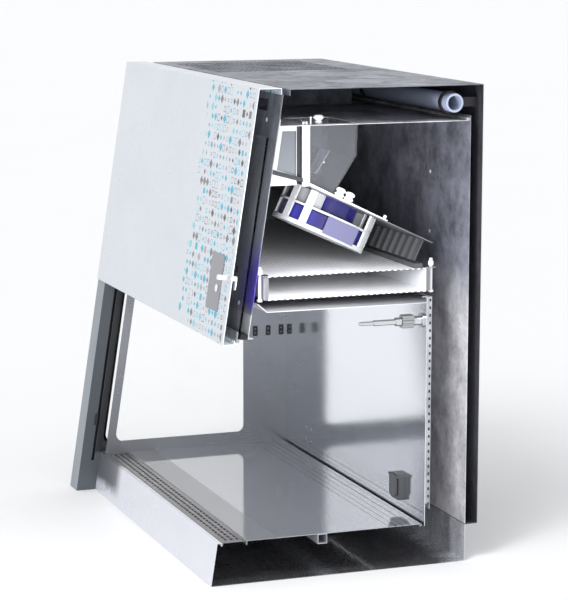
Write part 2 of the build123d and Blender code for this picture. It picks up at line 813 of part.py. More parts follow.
plate_drop = 46.0         # deck top to the top of the middle plate
plate_thick = 6.0
ring_thick = 12.0
post_thick = 6.0
post_wide = 22.0
rotor_gap = 3.0
with BuildPart() as fan_frame:
    with BuildSketch(fan_plane.offset(-plate_drop)):
        Circle(fan_radius)
        Circle(motor_radius + 8, mode=Mode.SUBTRACT)
    extrude(amount=-plate_thick)
    with BuildSketch(fan_plane.offset(-fan_drop)):
        Circle(fan_radius)
        Circle(fan_radius - 48, mode=Mode.SUBTRACT)
    extrude(amount=ring_thick)
    post_angles = [side + turn for side in (0, 180) for turn in (-72, -45, 45, 72)]
    with BuildSketch(fan_plane.offset(-fan_drop + ring_thick)):
        for angle in post_angles:
            with PolarLocations(fan_radius - post_thick / 2 - 1, 1, start_angle=angle):
                Rectangle(post_thick, post_wide)
    extrude(amount=fan_drop - ring_thick - deck_sheet - seat_gap)
save(fan_frame, "fan_frame")

housing_radius = 108.0
housing_window = [
    (2 * housing_radius * cos(radians(turn)), 2 * housing_radius * sin(radians(turn)))
    for turn in (-32, 48)
]
with BuildPart() as fan_housing:
    with BuildSketch(fan_plane.offset(-plate_drop)):
        Circle(housing_radius)
        Circle(housing_radius - 3, mode=Mode.SUBTRACT)
        Polygon((0, 0), *housing_window, align=None, mode=Mode.SUBTRACT)
    extrude(amount=plate_drop - deck_sheet - seat_gap)
save(fan_housing, "fan_housing")

hub_radius = 40.0
with BuildPart() as fan_motor:
    with BuildSketch(fan_plane.offset(-deck_sheet)):
        Circle(motor_radius)
    extrude(amount=-(plate_drop - deck_sheet - 4))
    with BuildSketch(fan_plane.offset(-plate_drop)):
        Circle(12)
    extrude(amount=-(fan_drop - plate_drop - 24))
    with BuildSketch(fan_plane.offset(-plate_drop)):
        Circle(26)
    extrude(amount=4)
    chamfer(fan_motor.edges().filter_by(GeomType.CIRCLE).group_by(SortBy.RADIUS)[-1], length=2)
save(fan_motor, "fan_motor")

blade_count = 22
rotor_top = -(plate_drop + plate_thick + rotor_gap)
rotor_low = -(fan_drop - ring_thick - rotor_gap)
rotor_radius = fan_radius - post_thick - 7
blade_depth = 32.0
with BuildPart() as fan_impeller:
    with BuildSketch(fan_plane.offset(rotor_top - 3)):
        Circle(rotor_radius)
        Circle(12 + bearing_gap, mode=Mode.SUBTRACT)
    extrude(amount=3)
    with BuildSketch(fan_plane.offset(rotor_top - 26)):
        Circle(hub_radius)
        Circle(12 + bearing_gap, mode=Mode.SUBTRACT)
    extrude(amount=23)
    with BuildSketch(fan_plane.offset(rotor_low)):
        Circle(rotor_radius)
        Circle(rotor_radius - blade_depth, mode=Mode.SUBTRACT)
    extrude(amount=3)
    with BuildSketch(fan_plane.offset(rotor_low + 3)):
        Circle(rotor_radius)
        Circle(rotor_radius - 2.5, mode=Mode.SUBTRACT)
        with PolarLocations(rotor_radius - 2 - blade_depth / 2, blade_count):
            with Locations(Rotation(0, 0, 24)):
                Rectangle(blade_depth, 2.4)
    extrude(amount=rotor_top - rotor_low - 6)
save(fan_impeller, "fan_impeller")

# Flat terminal plate on the fan's near side, between the middle plate and the ring.
terminal_plane = Plane(
    origin=fan_plane.from_local_coords((fan_radius + seat_gap, 4, -(fan_drop + plate_drop) / 2)),
    x_dir=tuple(along),
    z_dir=(1, 0, 0),
)
with BuildPart() as terminal_plate:
    with BuildSketch(terminal_plane):
        Rectangle(96, 50)
    extrude(amount=3)
save(terminal_plate, "terminal_plate")

# ---------------------------------------------------------------- hangers and rail
bar_thick = 4.0           # upright of a hanger
foot_wide = 20.0          # its foot, which lies on the deck
bar_x = cut_x - 2 - foot_wide
strip_width = 17.0
bar_width = 22.0
bar_length = 248.0
bar_height = 7.0
bar_tip = 3.0             # height of the foot at its rear end
foot_front = deck_front + Vector(0, 0, seat_gap)
foot_rear = foot_front + along * bar_length
foot_lift = Vector(0, sin(tilt), cos(tilt)) * bar_tip
with BuildPart() as fan_hangers:
    for start in (bar_x, wall_x + 24):
        with BuildSketch(Plane.YZ.offset(start)):
            Polygon(
                (foot_front.Y, foot_front.Z),
                (foot_rear.Y, foot_rear.Z),
                ((foot_rear + foot_lift).Y, (foot_rear + foot_lift).Z),
                (foot_front.Y, foot_front.Z + bar_height / cos(tilt)),
                align=None,
            )
        extrude(amount=foot_wide)
        with BuildSketch(Plane.YZ.offset(start + (foot_wide - bar_thick) / 2)):
            with Locations((deck_front_y, foot_front.Z)):
                Rectangle(
                    bar_width,
                    ceiling_z - seat_gap - foot_front.Z,
                    align=(Align.MAX, Align.MIN),
                )
        extrude(amount=bar_thick)
save(fan_hangers, "fan_hangers")

box_low = deck_front_z + 5
box_front = liner_front + seat_gap
box_near_x = cut_x - 6
rail_z = box_low + 11
strip_rear = deck_front_y - bar_width - seat_gap
stay_rise = 25.0          # the stay across the box's foot climbs this much to the front
stay_height = 12.0
with BuildPart() as deck_rail:
    with BuildSketch(Plane.YZ.offset(wall_x + seat_gap)):
        folded(
            [
                (strip_rear - strip_width, rail_z + 8),
                (strip_rear - strip_width, rail_z),
                (strip_rear, rail_z),
            ],
            radius=2.5,
        )
    extrude(amount=inside_width - seat_gap - 20)
    with BuildSketch(Plane.YZ.offset(wall_x + inside_width - 20 - bar_thick)):
        with Locations((strip_rear - strip_width, rail_z)):
            Rectangle(strip_width, ceiling_z - seat_gap - rail_z, align=Align.MIN)
    extrude(amount=bar_thick)
    stay_low = box_low + 7
    stay_front = front_y(stay_low + stay_rise, box_front)
    with BuildSketch(Plane.YZ.offset(box_near_x + seat_gap)):
        Polygon(
            (strip_rear, stay_low),
            (strip_rear, stay_low + stay_height),
            (stay_front + stay_height * slope, stay_low + stay_rise + stay_height),
            (stay_front, stay_low + stay_rise),
            align=None,
        )
    extrude(amount=bar_thick)
save(deck_rail, "deck_rail")

# ---------------------------------------------------------------- thumb nuts
nut_radius = 13.5
nut_lobe = 13.0
nut_runs = [90.0, 120.0]


def thumb_nut(spot, up, radii, lobe):
    """Turned nut that stands on a spot: one rounded lobe for each radius."""
    profile = [(0, 0)]
    for i, radius in enumerate(radii):
        low = i * lobe
        profile += [
            (radius - 4, low),
            (radius, low + 4),
            (radius, low + lobe - 5),
            (radius - 4, low + lobe - 1),
        ]
    profile += [(0, len(radii) * lobe - 1)]
    with BuildSketch(Plane(origin=spot, x_dir=(1, 0, 0), z_dir=up) * Plane.XZ) as half:
        Polygon(*profile, align=None)
    revolve(half.sketch, axis=Axis(spot, up))


with BuildPart() as deck_nuts:
    for run in nut_runs:
        foot_thick = bar_height + (bar_tip - bar_height) * run / bar_length
        seat = deck_plane(run, bar_x + foot_wide / 2 - 2, foot_thick + 2 * seat_gap)
        thumb_nut(tuple(seat.origin), deck_normal, [nut_radius, nut_radius], nut_lobe)
    ceiling_nut_spot = (cut_x - 20, deck_front_y + 28, ceiling_z + sheet)
    thumb_nut(ceiling_nut_spot, (0, 0, 1), [nut_radius - 4, nut_radius], nut_lobe)
    with Locations(deck_plane(bar_length - 8, bar_x + foot_wide / 2, bar_tip + 2 * seat_gap)):
        Cylinder(4.5, 10, align=(Align.CENTER, Align.CENTER, Align.MIN))
    with Locations(Plane.XY.offset(ceiling_z + sheet)):
        with Locations((cut_x - 8, deck_front_y - 20), (cut_x - 8, deck_front_y - 11)):
            Cylinder(3, 9, align=(Align.CENTER, Align.CENTER, Align.MIN))
        with Locations((cut_x - 8, deck_front_y + 1)):
            Cylinder(2, 22, align=(Align.CENTER, Align.CENTER, Align.MIN))
save(deck_nuts, "deck_nuts")

# ---------------------------------------------------------------- exhaust duct
duct_top = ceiling_z - seat_gap
duct_knee = ceiling_z - 87     # height where the rear wall starts to taper
duct_shift = 3.0               # the knee stands this far in front of the duct's top
flange_thick = 5.0


def duct_section():
    """Duct outline seen from the open end: straight front, rear wall that tapers in."""
    foot = deck_front + along * duct_foot
    Polygon(
        (duct_front_y, deck_front_z + 1),
        (duct_front_y, duct_top),
        (duct_rear_y, duct_top),
        (duct_rear_y - duct_shift, duct_knee),
        (foot.Y, foot.Z + 1),
        align=None,
    )


damper_y = duct_front_y + 45
damper_z = ceiling_z - 102
damper_half = 36.0
spindle_radius = 3.0
with BuildPart() as exhaust_duct:
    with BuildSketch(Plane.YZ.offset(duct_far_x)):
        duct_section()
    extrude(amount=duct_near_x - duct_far_x)
    with BuildSketch(Plane.YZ.offset(duct_far_x + duct_wall)):
        foot = deck_front + along * duct_foot
        below = foot.Z - duct_depth
        Polygon(
            (duct_front_y + duct_wall, below),
            (duct_front_y + duct_wall, duct_top),
            (duct_rear_y - duct_wall, duct_top),
            (duct_rear_y - duct_shift - duct_wall, duct_knee),
            (foot.Y - duct_wall, foot.Z),
            (foot.Y - duct_wall, below),
            align=None,
        )
    extrude(amount=duct_near_x - duct_far_x - 2 * duct_wall, mode=Mode.SUBTRACT)
    with BuildSketch(Plane.XY.offset(duct_top)):
        with Locations(((duct_far_x + duct_near_x) / 2, (duct_front_y + duct_rear_y) / 2)):
            Rectangle(duct_near_x - duct_far_x + 16, duct_rear_y - duct_front_y - 0.6)
            Rectangle(
                duct_near_x - duct_far_x - 2 * duct_wall,
                duct_rear_y - duct_front_y - 2 * duct_wall,
                mode=Mode.SUBTRACT,
            )
    extrude(amount=-flange_thick)
    with BuildSketch(Plane.YZ.offset(duct_far_x - 1)):
        with Locations((damper_y, damper_z)):
            Circle(spindle_radius + bearing_gap)
    extrude(amount=duct_near_x - duct_far_x + 2, mode=Mode.SUBTRACT)
save(exhaust_duct, "exhaust_duct")

damper_lean = 57.0
with BuildPart() as damper_blade:
    with BuildSketch(Plane.YZ.offset(duct_far_x + duct_wall + 1)):
        with Locations(Location((damper_y, damper_z), damper_lean)):
            Rectangle(2 * damper_half, sheet)
    extrude(amount=duct_near_x - duct_far_x - 2 * duct_wall - 2)
    with BuildSketch(Plane.YZ.offset(duct_far_x - 2)):
        with Locations((damper_y, damper_z)):
            Circle(spindle_radius)
    extrude(amount=duct_near_x - duct_far_x + 7)
save(damper_blade, "damper_blade")

# ---------------------------------------------------------------- bellows under the deck
fold_pitch = 46.0
fold_depth = 13.0
bellows_foot_z = filter_high + 13
bellows_foot_y = filter_rear_y - 24
foot_rise = deck_front_z - bellows_foot_z
bellows_run = (bellows_foot_y - deck_front_y + foot_rise * tan(tilt)) * cos(tilt)
bellows_top = deck_plane(bellows_run, 0, -deck_sheet - 1).origin
bellows_drop = (bellows_top.Z - bellows_foot_z) / cos(tilt)
bellows_plane = Plane(origin=bellows_top, x_dir=(1, 0, 0), z_dir=deck_normal)
fold_count = int(inside_width / fold_pitch)
with BuildPart() as deck_bellows:
    with BuildSketch(bellows_plane):
        first = wall_x + 8
        outer = []
        for i in range(fold_count):
            start = first + i * fold_pitch
            outer += [
                (start, 0),
                (start + fold_pitch * 0.30, 0),
                (start + fold_pitch * 0.42, -fold_depth),
                (start + fold_pitch * 0.88, -fold_depth),
            ]
        inner = [(u, v - 3) for u, v in reversed(outer)]
        Polygon(*outer, *inner, align=None)
    extrude(amount=-bellows_drop)
    with BuildSketch(Plane.XY.offset(filter_high + seat_gap)):
        with Locations((wall_x + inside_width / 2, bellows_foot_y - 8)):
            Rectangle(inside_width - 8, 24)
    extrude(amount=13)
save(deck_bellows, "deck_bellows")

# ================================================================ supply filter
filter_x = wall_x + seat_gap
guard = 1.5
with BuildPart() as filter_frame:
    with BuildSketch(Plane.XY.offset(filter_low + guard)):
        with Locations(((filter_x + cut_x) / 2, (filter_front_y + filter_rear_y) / 2)):
            Rectangle(cut_x - filter_x, filter_length)
        with Locations(((filter_x + cut_x) / 2 + filter_wall, (filter_front_y + filter_rear_y) / 2)):
            Rectangle(cut_x - filter_x, filter_length - 2 * filter_wall, mode=Mode.SUBTRACT)
    extrude(amount=filter_height - 2 * guard)
save(filter_frame, "filter_frame")


def guard_sheet(low):
    """Woven guard over one face of the filter, as a plain sheet."""
    with BuildSketch(Plane.XY.offset(low)) as outline:
        with Locations(((filter_x + cut_x) / 2, (filter_front_y + filter_rear_y) / 2)):
            Rectangle(cut_x - filter_x, filter_length)
    extrude(outline.sketch, amount=guard)


with BuildPart() as filter_top_guard:
    guard_sheet(filter_high - guard)
save(filter_top_guard, "filter_top_guard")

with BuildPart() as filter_lower_guard:
    guard_sheet(filter_low)
save(filter_lower_guard, "filter_lower_guard")

media_setback = 470.0     # open end to the paper pack, which is left out up to there
media_right = cut_x - media_setback
media_pleats = int((media_right - filter_x - filter_wall) / pleat_pitch)
with BuildPart() as filter_pack:
    with BuildSketch(Plane.XZ.offset(-(filter_front_y + filter_wall + seat_gap))):
        pleats(
            filter_x + filter_wall + seat_gap,
            media_pleats,
            pleat_pitch,
            filter_low + guard + 1,
            filter_high - guard - 1,
        )
    extrude(amount=-(filter_length - 2 * filter_wall - 2 * seat_gap))
save(filter_pack, "filter_pack")

# Clamp posts with their nuts, in front of and behind the filter frame.
clamp_front_y = filter_front_y - 11
clamp_rear_y = filter_rear_y + 10
clamp_x = [cut_x - 14, wall_x + 40]
clamp_radius = 4.5
clamp_low = filter_low - 4
clamp_high = filter_high + 26
with BuildPart() as filter_clamps:
    for x in clamp_x:
        for y in (clamp_front_y, clamp_rear_y):
            with Locations((x, y, clamp_low)):
                Cylinder(clamp_radius, clamp_high - clamp_low, align=(Align.CENTER,) * 2 + (Align.MIN,))
                Cylinder(7.5, 6, align=(Align.CENTER,) * 2 + (Align.MIN,))
            with Locations((x, y, filter_high + 6)):
                Cylinder(7.5, 12, align=(Align.CENTER,) * 2 + (Align.MIN,))
save(filter_clamps, "filter_clamps")

bracket_wide = 24.0
with BuildPart() as clamp_brackets:
    for x in clamp_x:
        for y, edge in ((clamp_front_y, filter_front_y), (clamp_rear_y, filter_rear_y)):
            reach = 12 if edge > y else -12
            with BuildSketch(Plane.YZ.offset(x - bracket_wide / 2)):
                with BuildLine():
                    Line(
                        (y - 9 if reach > 0 else y + 9, filter_high + seat_gap),
                        (edge + reach, filter_high + seat_gap),
                    )
                    offset(amount=2.4, side=Side.LEFT if reach > 0 else Side.RIGHT)
                make_face()
            extrude(amount=bracket_wide)
            with Locations((x, y, filter_high)):
                Cylinder(clamp_radius, 12, mode=Mode.SUBTRACT)
save(clamp_brackets, "clamp_brackets")

# ---------------------------------------------------------------- diffuser
diffuser_z = chamber_top_z - 17
with BuildPart() as diffuser:
    with BuildSketch(Plane.YZ.offset(wall_x + seat_gap)):
        folded(
            [
                (filter_front_y - 21, diffuser_z + 24),
                (filter_front_y + 5, diffuser_z),
                (chamber_rear_y - seat_gap, diffuser_z),
            ],
        )
    extrude(amount=inside_width - seat_gap)
save(diffuser, "diffuser")

# ================================================================ service pipe
pipe_z = height - 53
with BuildPart() as service_pipe:
    with BuildSketch(Plane.YZ.offset(left_x + sheet + seat_gap)):
        with Locations((pipe_y, pipe_z)):
            Circle(pipe_radius)
            Circle(pipe_radius - 6, mode=Mode.SUBTRACT)
    extrude(amount=width - sheet - seat_gap - 2)
save(service_pipe, "service_pipe")

clip_wide = 14.0
with BuildPart() as pipe_clips:
    for x in (cut_x - 46, 0, left_x + 60):
        with BuildSketch(Plane.YZ.offset(x)):
            with Locations((pipe_y, pipe_z)):
                Circle(pipe_radius + 5)
            with Locations(((pipe_y + rear_y - sheet) / 2, pipe_z)):
                Rectangle(rear_y - sheet - seat_gap - pipe_y, 26)
            with Locations((pipe_y, pipe_z)):
                Circle(pipe_radius + seat_gap, mode=Mode.SUBTRACT)
        extrude(amount=clip_wide)
save(pipe_clips, "pipe_clips")

# ================================================================ gas tap
tap_x = cut_x - 30
tap_z = chamber_top_z - 70
tap_radius = 8.0
tap_plane = Plane(origin=(tap_x, chamber_rear_y - seat_gap, tap_z), x_dir=(1, 0, 0), z_dir=(0, -1, 0))
wheel_start = 30.0
wheel_thick = 34.0
spindle = 7.0
tap_length = 190.0
with BuildPart() as tap_body:
    with BuildSketch(tap_plane):
        Circle(20)
    extrude(amount=5)
    with BuildSketch(tap_plane):
        Circle(13)
    extrude(amount=wheel_start - 1)
    with BuildSketch(tap_plane):
        Circle(spindle)
    extrude(amount=wheel_start + wheel_thick + 1)
    with BuildSketch(tap_plane.offset(wheel_start + wheel_thick + 1)):
        Circle(12)
    extrude(amount=16)
    with BuildSketch(tap_plane.offset(wheel_start + wheel_thick + 17)):
        Circle(tap_radius)
    extrude(amount=66)
    with BuildSketch(tap_plane.offset(wheel_start + wheel_thick + 83)):
        Circle(5)
    extrude(amount=tap_length - wheel_start - wheel_thick - 83)
    for i in range(3):
        with BuildSketch(tap_plane.offset(wheel_start + wheel_thick + 90 + 9 * i)):
            Circle(6.5)
        extrude(amount=5, taper=14)
save(tap_body, "tap_body")

with BuildPart() as tap_handwheel:
    with BuildSketch(tap_plane.offset(wheel_start)):
        Circle(16)
        with PolarLocations(15, 6):
            Circle(5.5)
        Circle(spindle + bearing_gap, mode=Mode.SUBTRACT)
    extrude(amount=wheel_thick)
    chamfer(tap_handwheel.edges().group_by(Axis.Y)[0], length=1)
save(tap_handwheel, "tap_handwheel")

# ================================================================ splash-proof socket
socket_x = cut_x - 176
socket_z = 190.0
socket_wide = 62.0
socket_high = 74.0
socket_deep = 16.0
socket_plane = Plane(
    origin=(socket_x, chamber_rear_y - seat_gap, socket_z), x_dir=(1, 0, 0), z_dir=(0, -1, 0)
)
flap_pin = 2.0
flap_z = socket_high / 2 - 5
with BuildPart() as socket_body:
    with BuildSketch(socket_plane):
        RectangleRounded(socket_wide, socket_high, 6)
    extrude(amount=socket_deep)
    with BuildSketch(socket_plane.offset(socket_deep)):
        with Locations((0, -6)):
            Circle(19)
    extrude(amount=-10, mode=Mode.SUBTRACT)
    with BuildSketch(socket_plane.offset(socket_deep - 10)):
        with Locations((0, -6)):
            Circle(18)
            with Locations((-9.5, 0), (9.5, 0)):
                Circle(2.6, mode=Mode.SUBTRACT)
    extrude(amount=1)
    for side in (-1, 1):
        with BuildSketch(Plane.YZ.offset(socket_x + side * (socket_wide / 2 - 3) - 3)):
            with Locations((chamber_rear_y - seat_gap - socket_deep - 4, socket_z + flap_z)):
                Circle(4)
            with Locations((chamber_rear_y - seat_gap - socket_deep - 1.5, socket_z + flap_z)):
                Rectangle(5, 8)
        extrude(amount=6)
    with BuildSketch(Plane.YZ.offset(socket_x - socket_wide / 2 + 3)):
        with Locations((chamber_rear_y - seat_gap - socket_deep - 4, socket_z + flap_z)):
            Circle(flap_pin)
    extrude(amount=socket_wide - 6)
save(socket_body, "socket_body")

with BuildPart() as socket_flap:
    flap_y = chamber_rear_y - seat_gap - socket_deep - 4
    flap_wide = socket_wide - 14
    with BuildSketch(Plane.YZ.offset(socket_x - flap_wide / 2)):
        with Locations((flap_y, socket_z + flap_z)):
            Circle(3.6)
        with Locations((flap_y - 1, socket_z + flap_z - 29)):
            Rectangle(5, 58)
        with Locations((flap_y, socket_z + flap_z)):
            Circle(flap_pin + bearing_gap, mode=Mode.SUBTRACT)
    extrude(amount=flap_wide)
    fillet(socket_flap.edges().filter_by(Axis.Y).group_by(Axis.Z)[0], radius=9)
save(socket_flap, "socket_flap")

# ================================================================ electronics box
box_rear_y = strip_rear - strip_width - seat_gap
box_length = 284.0
box_far_x = box_near_x - box_length
rim = 13.0
with BuildPart() as electronics_box:
    with BuildSketch(Plane.YZ.offset(box_far_x)):
        Polygon(
            (front_y(box_low, box_front), box_low),
            (box_rear_y, box_low),
            (box_rear_y, ceiling_z - seat_gap),
            (front_y(ceiling_z - seat_gap, box_front), ceiling_z - seat_gap),
            align=None,
        )
    extrude(amount=box_near_x - box_far_x)
    with BuildSketch(Plane.YZ.offset(box_near_x)):
        Polygon(
            (front_y(box_low + 43, box_front) + rim, box_low + 43),
            (box_rear_y - 1.5, box_low + 25),
            (box_rear_y - 1.5, ceiling_z - rim),
            (front_y(ceiling_z - rim, box_front) + rim, ceiling_z - rim),
            align=None,
        )
    extrude(amount=-6, mode=Mode.SUBTRACT)
save(electronics_box, "electronics_box")
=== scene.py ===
"""Looks of the sectioned biosafety cabinet: finishes for every CAD piece, the small
fittings that only show, the lamps, the floor and the camera. Metres, in the CAD frame."""

from math import cos, pi, radians, sin

import bpy
import numpy as np
from mathutils import Matrix, Vector


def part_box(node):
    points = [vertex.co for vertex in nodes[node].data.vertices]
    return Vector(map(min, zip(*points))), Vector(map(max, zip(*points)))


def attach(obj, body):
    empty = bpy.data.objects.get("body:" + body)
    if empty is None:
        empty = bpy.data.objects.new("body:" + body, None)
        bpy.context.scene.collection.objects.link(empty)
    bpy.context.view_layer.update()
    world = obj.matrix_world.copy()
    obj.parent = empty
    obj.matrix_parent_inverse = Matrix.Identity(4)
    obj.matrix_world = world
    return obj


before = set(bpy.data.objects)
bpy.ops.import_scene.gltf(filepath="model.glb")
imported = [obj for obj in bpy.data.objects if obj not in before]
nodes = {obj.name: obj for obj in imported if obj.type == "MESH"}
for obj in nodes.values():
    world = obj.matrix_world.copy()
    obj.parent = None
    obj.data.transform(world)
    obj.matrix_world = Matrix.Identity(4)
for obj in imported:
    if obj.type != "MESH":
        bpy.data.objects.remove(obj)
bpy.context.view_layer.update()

lean = radians(8.7)


# ---------------------------------------------------------------- node wiring
def feed(tree, socket, value):
    """Links an input to another socket, or sets it to a plain value."""
    if isinstance(value, bpy.types.NodeSocket):
        tree.links.new(value, socket)
    else:
        socket.default_value = value


def calc(tree, operation, a, b=None):
    """One scalar sum, product or comparison of sockets and numbers."""
    made = tree.nodes.new("ShaderNodeMath")
    made.operation = operation
    feed(tree, made.inputs[0], a)
    if b is not None:
        feed(tree, made.inputs[1], b)
    return made.outputs[0]


def vector_calc(tree, operation, a, b):
    """One vector sum or product."""
    made = tree.nodes.new("ShaderNodeVectorMath")
    made.operation = operation
    feed(tree, made.inputs[0], a)
    feed(tree, made.inputs[1], b)
    return made.outputs[0]


def blend_colours(tree, factor, first, second):
    """Mixes two colours by a mask; each is a socket or three numbers."""
    made = tree.nodes.new("ShaderNodeMix")
    made.data_type = "RGBA"
    feed(tree, made.inputs[0], factor)
    for socket, colour in ((made.inputs[6], first), (made.inputs[7], second)):
        feed(tree, socket, (*colour, 1) if isinstance(colour, tuple) else colour)
    return made.outputs[2]


def remap(tree, value, low, high, new_low, new_high):
    """Carries a value from one range to another and holds it there."""
    made = tree.nodes.new("ShaderNodeMapRange")
    for socket, number in zip(made.inputs, (value, low, high, new_low, new_high)):
        feed(tree, socket, number)
    return made.outputs[0]


def noise(tree, where, scale, detail=4.0, rough=0.55, warp=0.0):
    """Cloudy noise, 0 to 1, at the given place."""
    made = tree.nodes.new("ShaderNodeTexNoise")
    for name, value in (("Vector", where), ("Scale", scale), ("Detail", detail),
                        ("Roughness", rough), ("Distortion", warp)):
        feed(tree, made.inputs[name], value)
    return made.outputs["Fac"]


def effect(name, inputs, outputs, build):
    """Makes a shared shader node group; build(tree, in sockets) returns the out sockets."""
    tree = bpy.data.node_groups.new(name, "ShaderNodeTree")
    for label, kind, value in inputs:
        socket = tree.interface.new_socket(label, in_out="INPUT", socket_type=kind)
        if value is not None:
            socket.default_value = value
    for label, kind in outputs:
        tree.interface.new_socket(label, in_out="OUTPUT", socket_type=kind)
    inside = tree.nodes.new("NodeGroupInput")
    outside = tree.nodes.new("NodeGroupOutput")
    for given, wanted in zip(build(tree, inside.outputs), outside.inputs):
        tree.links.new(given, wanted)
    return tree


def use(tree, group, **values):
    """Places a shared effect in a material, with this material's own values."""
    made = tree.nodes.new("ShaderNodeGroup")
    made.node_tree = group
    for key, value in values.items():
        feed(tree, made.inputs[key], value)
    return made.outputs


FLOAT, VECTOR = "NodeSocketFloat", "NodeSocketVector"


# ---------------------------------------------------------------- shared effects
def build_zinc(tree, given):
    """Cloudy patches and upright streaks of dipped zinc sheet."""
    squeezed = vector_calc(tree, "MULTIPLY", given["Place"], (1.0, 1.0, 0.35))
    clouds = noise(tree, squeezed, given["Scale"], 5.0, 0.62, 0.6)
    fine = noise(tree, given["Place"], calc(tree, "MULTIPLY", given["Scale"], 5.0), 3.0, 0.6)
    streaked = vector_calc(tree, "MULTIPLY", given["Place"], (1.0, 1.0, 0.06))
    streaks = noise(tree, streaked, calc(tree, "MULTIPLY", given["Scale"], 3.0), 3.0, 0.5)
    both = calc(tree, "ADD", calc(tree, "MULTIPLY", clouds, 0.62),
                calc(tree, "MULTIPLY", fine, 0.2))
    both = calc(tree, "ADD", both, calc(tree, "MULTIPLY", streaks, 0.22))
    return [remap(tree, both, 0.36, 0.68, 0.0, 1.0)]


zinc_mottle = effect(
    "zinc mottle", [("Place", VECTOR, None), ("Scale", FLOAT, 7.0)],
    [("Mask", FLOAT)], build_zinc)


def build_grain(tree, given):
    """Hair-fine lines along X, as a rolled and brushed sheet has."""
    drawn = vector_calc(tree, "MULTIPLY", given["Place"], given["Stretch"])
    lines = noise(tree, drawn, given["Scale"], 4.0, 0.7)
    return [remap(tree, lines, 0.3, 0.7, 0.0, 1.0)]


brushed_grain = effect(
    "brushed grain",
    [("Place", VECTOR, None), ("Scale", FLOAT, 30.0), ("Stretch", VECTOR, (0.6, 40.0, 40.0))],
    [("Lines", FLOAT)], build_grain)


def build_handling(tree, given):
    """Soft wiped patches and a few sharper specks: 0 clean, 1 handled."""
    wiped = noise(tree, given["Place"], 4.0, 3.0, 0.5, 0.8)
    specks = noise(tree, given["Place"], 160.0, 2.0, 0.5)
    patches = remap(tree, wiped, 0.42, 0.72, 0.0, 1.0)
    dots = remap(tree, specks, 0.66, 0.74, 0.0, 1.0)
    both = calc(tree, "ADD", calc(tree, "MULTIPLY", patches, 0.7),
                calc(tree, "MULTIPLY", dots, 0.3))
    return [calc(tree, "MULTIPLY", both, given["Amount"])]


handling = effect(
    "handling marks", [("Place", VECTOR, None), ("Amount", FLOAT, 1.0)], [("Mask", FLOAT)],
    build_handling)


def build_skin(tree, given):
    """Fine waviness of a sprayed or moulded skin, as a normal."""
    waves = noise(tree, given["Place"], given["Scale"], 2.0, 0.5)
    bump = tree.nodes.new("ShaderNodeBump")
    bump.inputs["Distance"].default_value = 0.0006
    tree.links.new(waves, bump.inputs["Height"])
    tree.links.new(given["Depth"], bump.inputs["Strength"])
    return [bump.outputs["Normal"]]


paint_skin = effect(
    "paint skin", [("Place", VECTOR, None), ("Scale", FLOAT, 420.0), ("Depth", FLOAT, 0.12)],
    [("Normal", VECTOR)], build_skin)


def split(tree, vector):
    """The three numbers of a vector."""
    made = tree.nodes.new("ShaderNodeSeparateXYZ")
    tree.links.new(vector, made.inputs[0])
    return made.outputs


def wave(tree, along, pitch, low, high):
    """Stripes across a distance: 0 between them and 1 on them."""
    turned = calc(tree, "SINE", calc(tree, "MULTIPLY", along, 2 * pi / pitch))
    return remap(tree, turned, low, high, 0.0, 1.0)


def facing(tree):
    """Which way the face looks, as three numbers that stay with the piece when it moves."""
    turned = tree.nodes.new("ShaderNodeVectorTransform")
    turned.vector_type = "NORMAL"
    turned.convert_from = "WORLD"
    turned.convert_to = "OBJECT"
    look = tree.nodes.new("ShaderNodeNewGeometry").outputs["True Normal"]
    tree.links.new(look, turned.inputs[0])
    return split(tree, turned.outputs[0])


def part_of(colour, share):
    """A darker shade of a colour."""
    return tuple(number * share for number in colour)


def roughen(tree, skin, mask, at_zero, at_one):
    """Lets a mask carry the roughness from one value to another."""
    tree.links.new(remap(tree, mask, 0.0, 1.0, at_zero, at_one), skin.inputs["Roughness"])


def fine_skin(tree, skin, place, scale, depth):
    """Gives a finish the shared fine waviness."""
    normal = use(tree, paint_skin, Place=place, Scale=scale, Depth=depth)["Normal"]
    tree.links.new(normal, skin.inputs["Normal"])


def emboss(tree, skin, height, strength, distance, invert=False):
    """Raises a finish by a mask, or sinks it when inverted."""
    bump = tree.nodes.new("ShaderNodeBump")
    bump.invert = invert
    bump.inputs["Strength"].default_value = strength
    bump.inputs["Distance"].default_value = distance
    tree.links.new(height, bump.inputs["Height"])
    tree.links.new(bump.outputs["Normal"], skin.inputs["Normal"])


def new_finish(name, **plain):
    """A material with one Principled shader; plain values go straight on its sockets."""
    material = bpy.data.materials.new(name)
    material.use_nodes = True
    tree = material.node_tree
    tree.nodes.clear()
    out = tree.nodes.new("ShaderNodeOutputMaterial")
    skin = tree.nodes.new("ShaderNodeBsdfPrincipled")
    tree.links.new(skin.outputs[0], out.inputs["Surface"])
    for key, value in plain.items():
        skin.inputs[key.replace("_", " ")].default_value = value
    place = tree.nodes.new("ShaderNodeTexCoord").outputs["Object"]
    return material, tree, skin, place


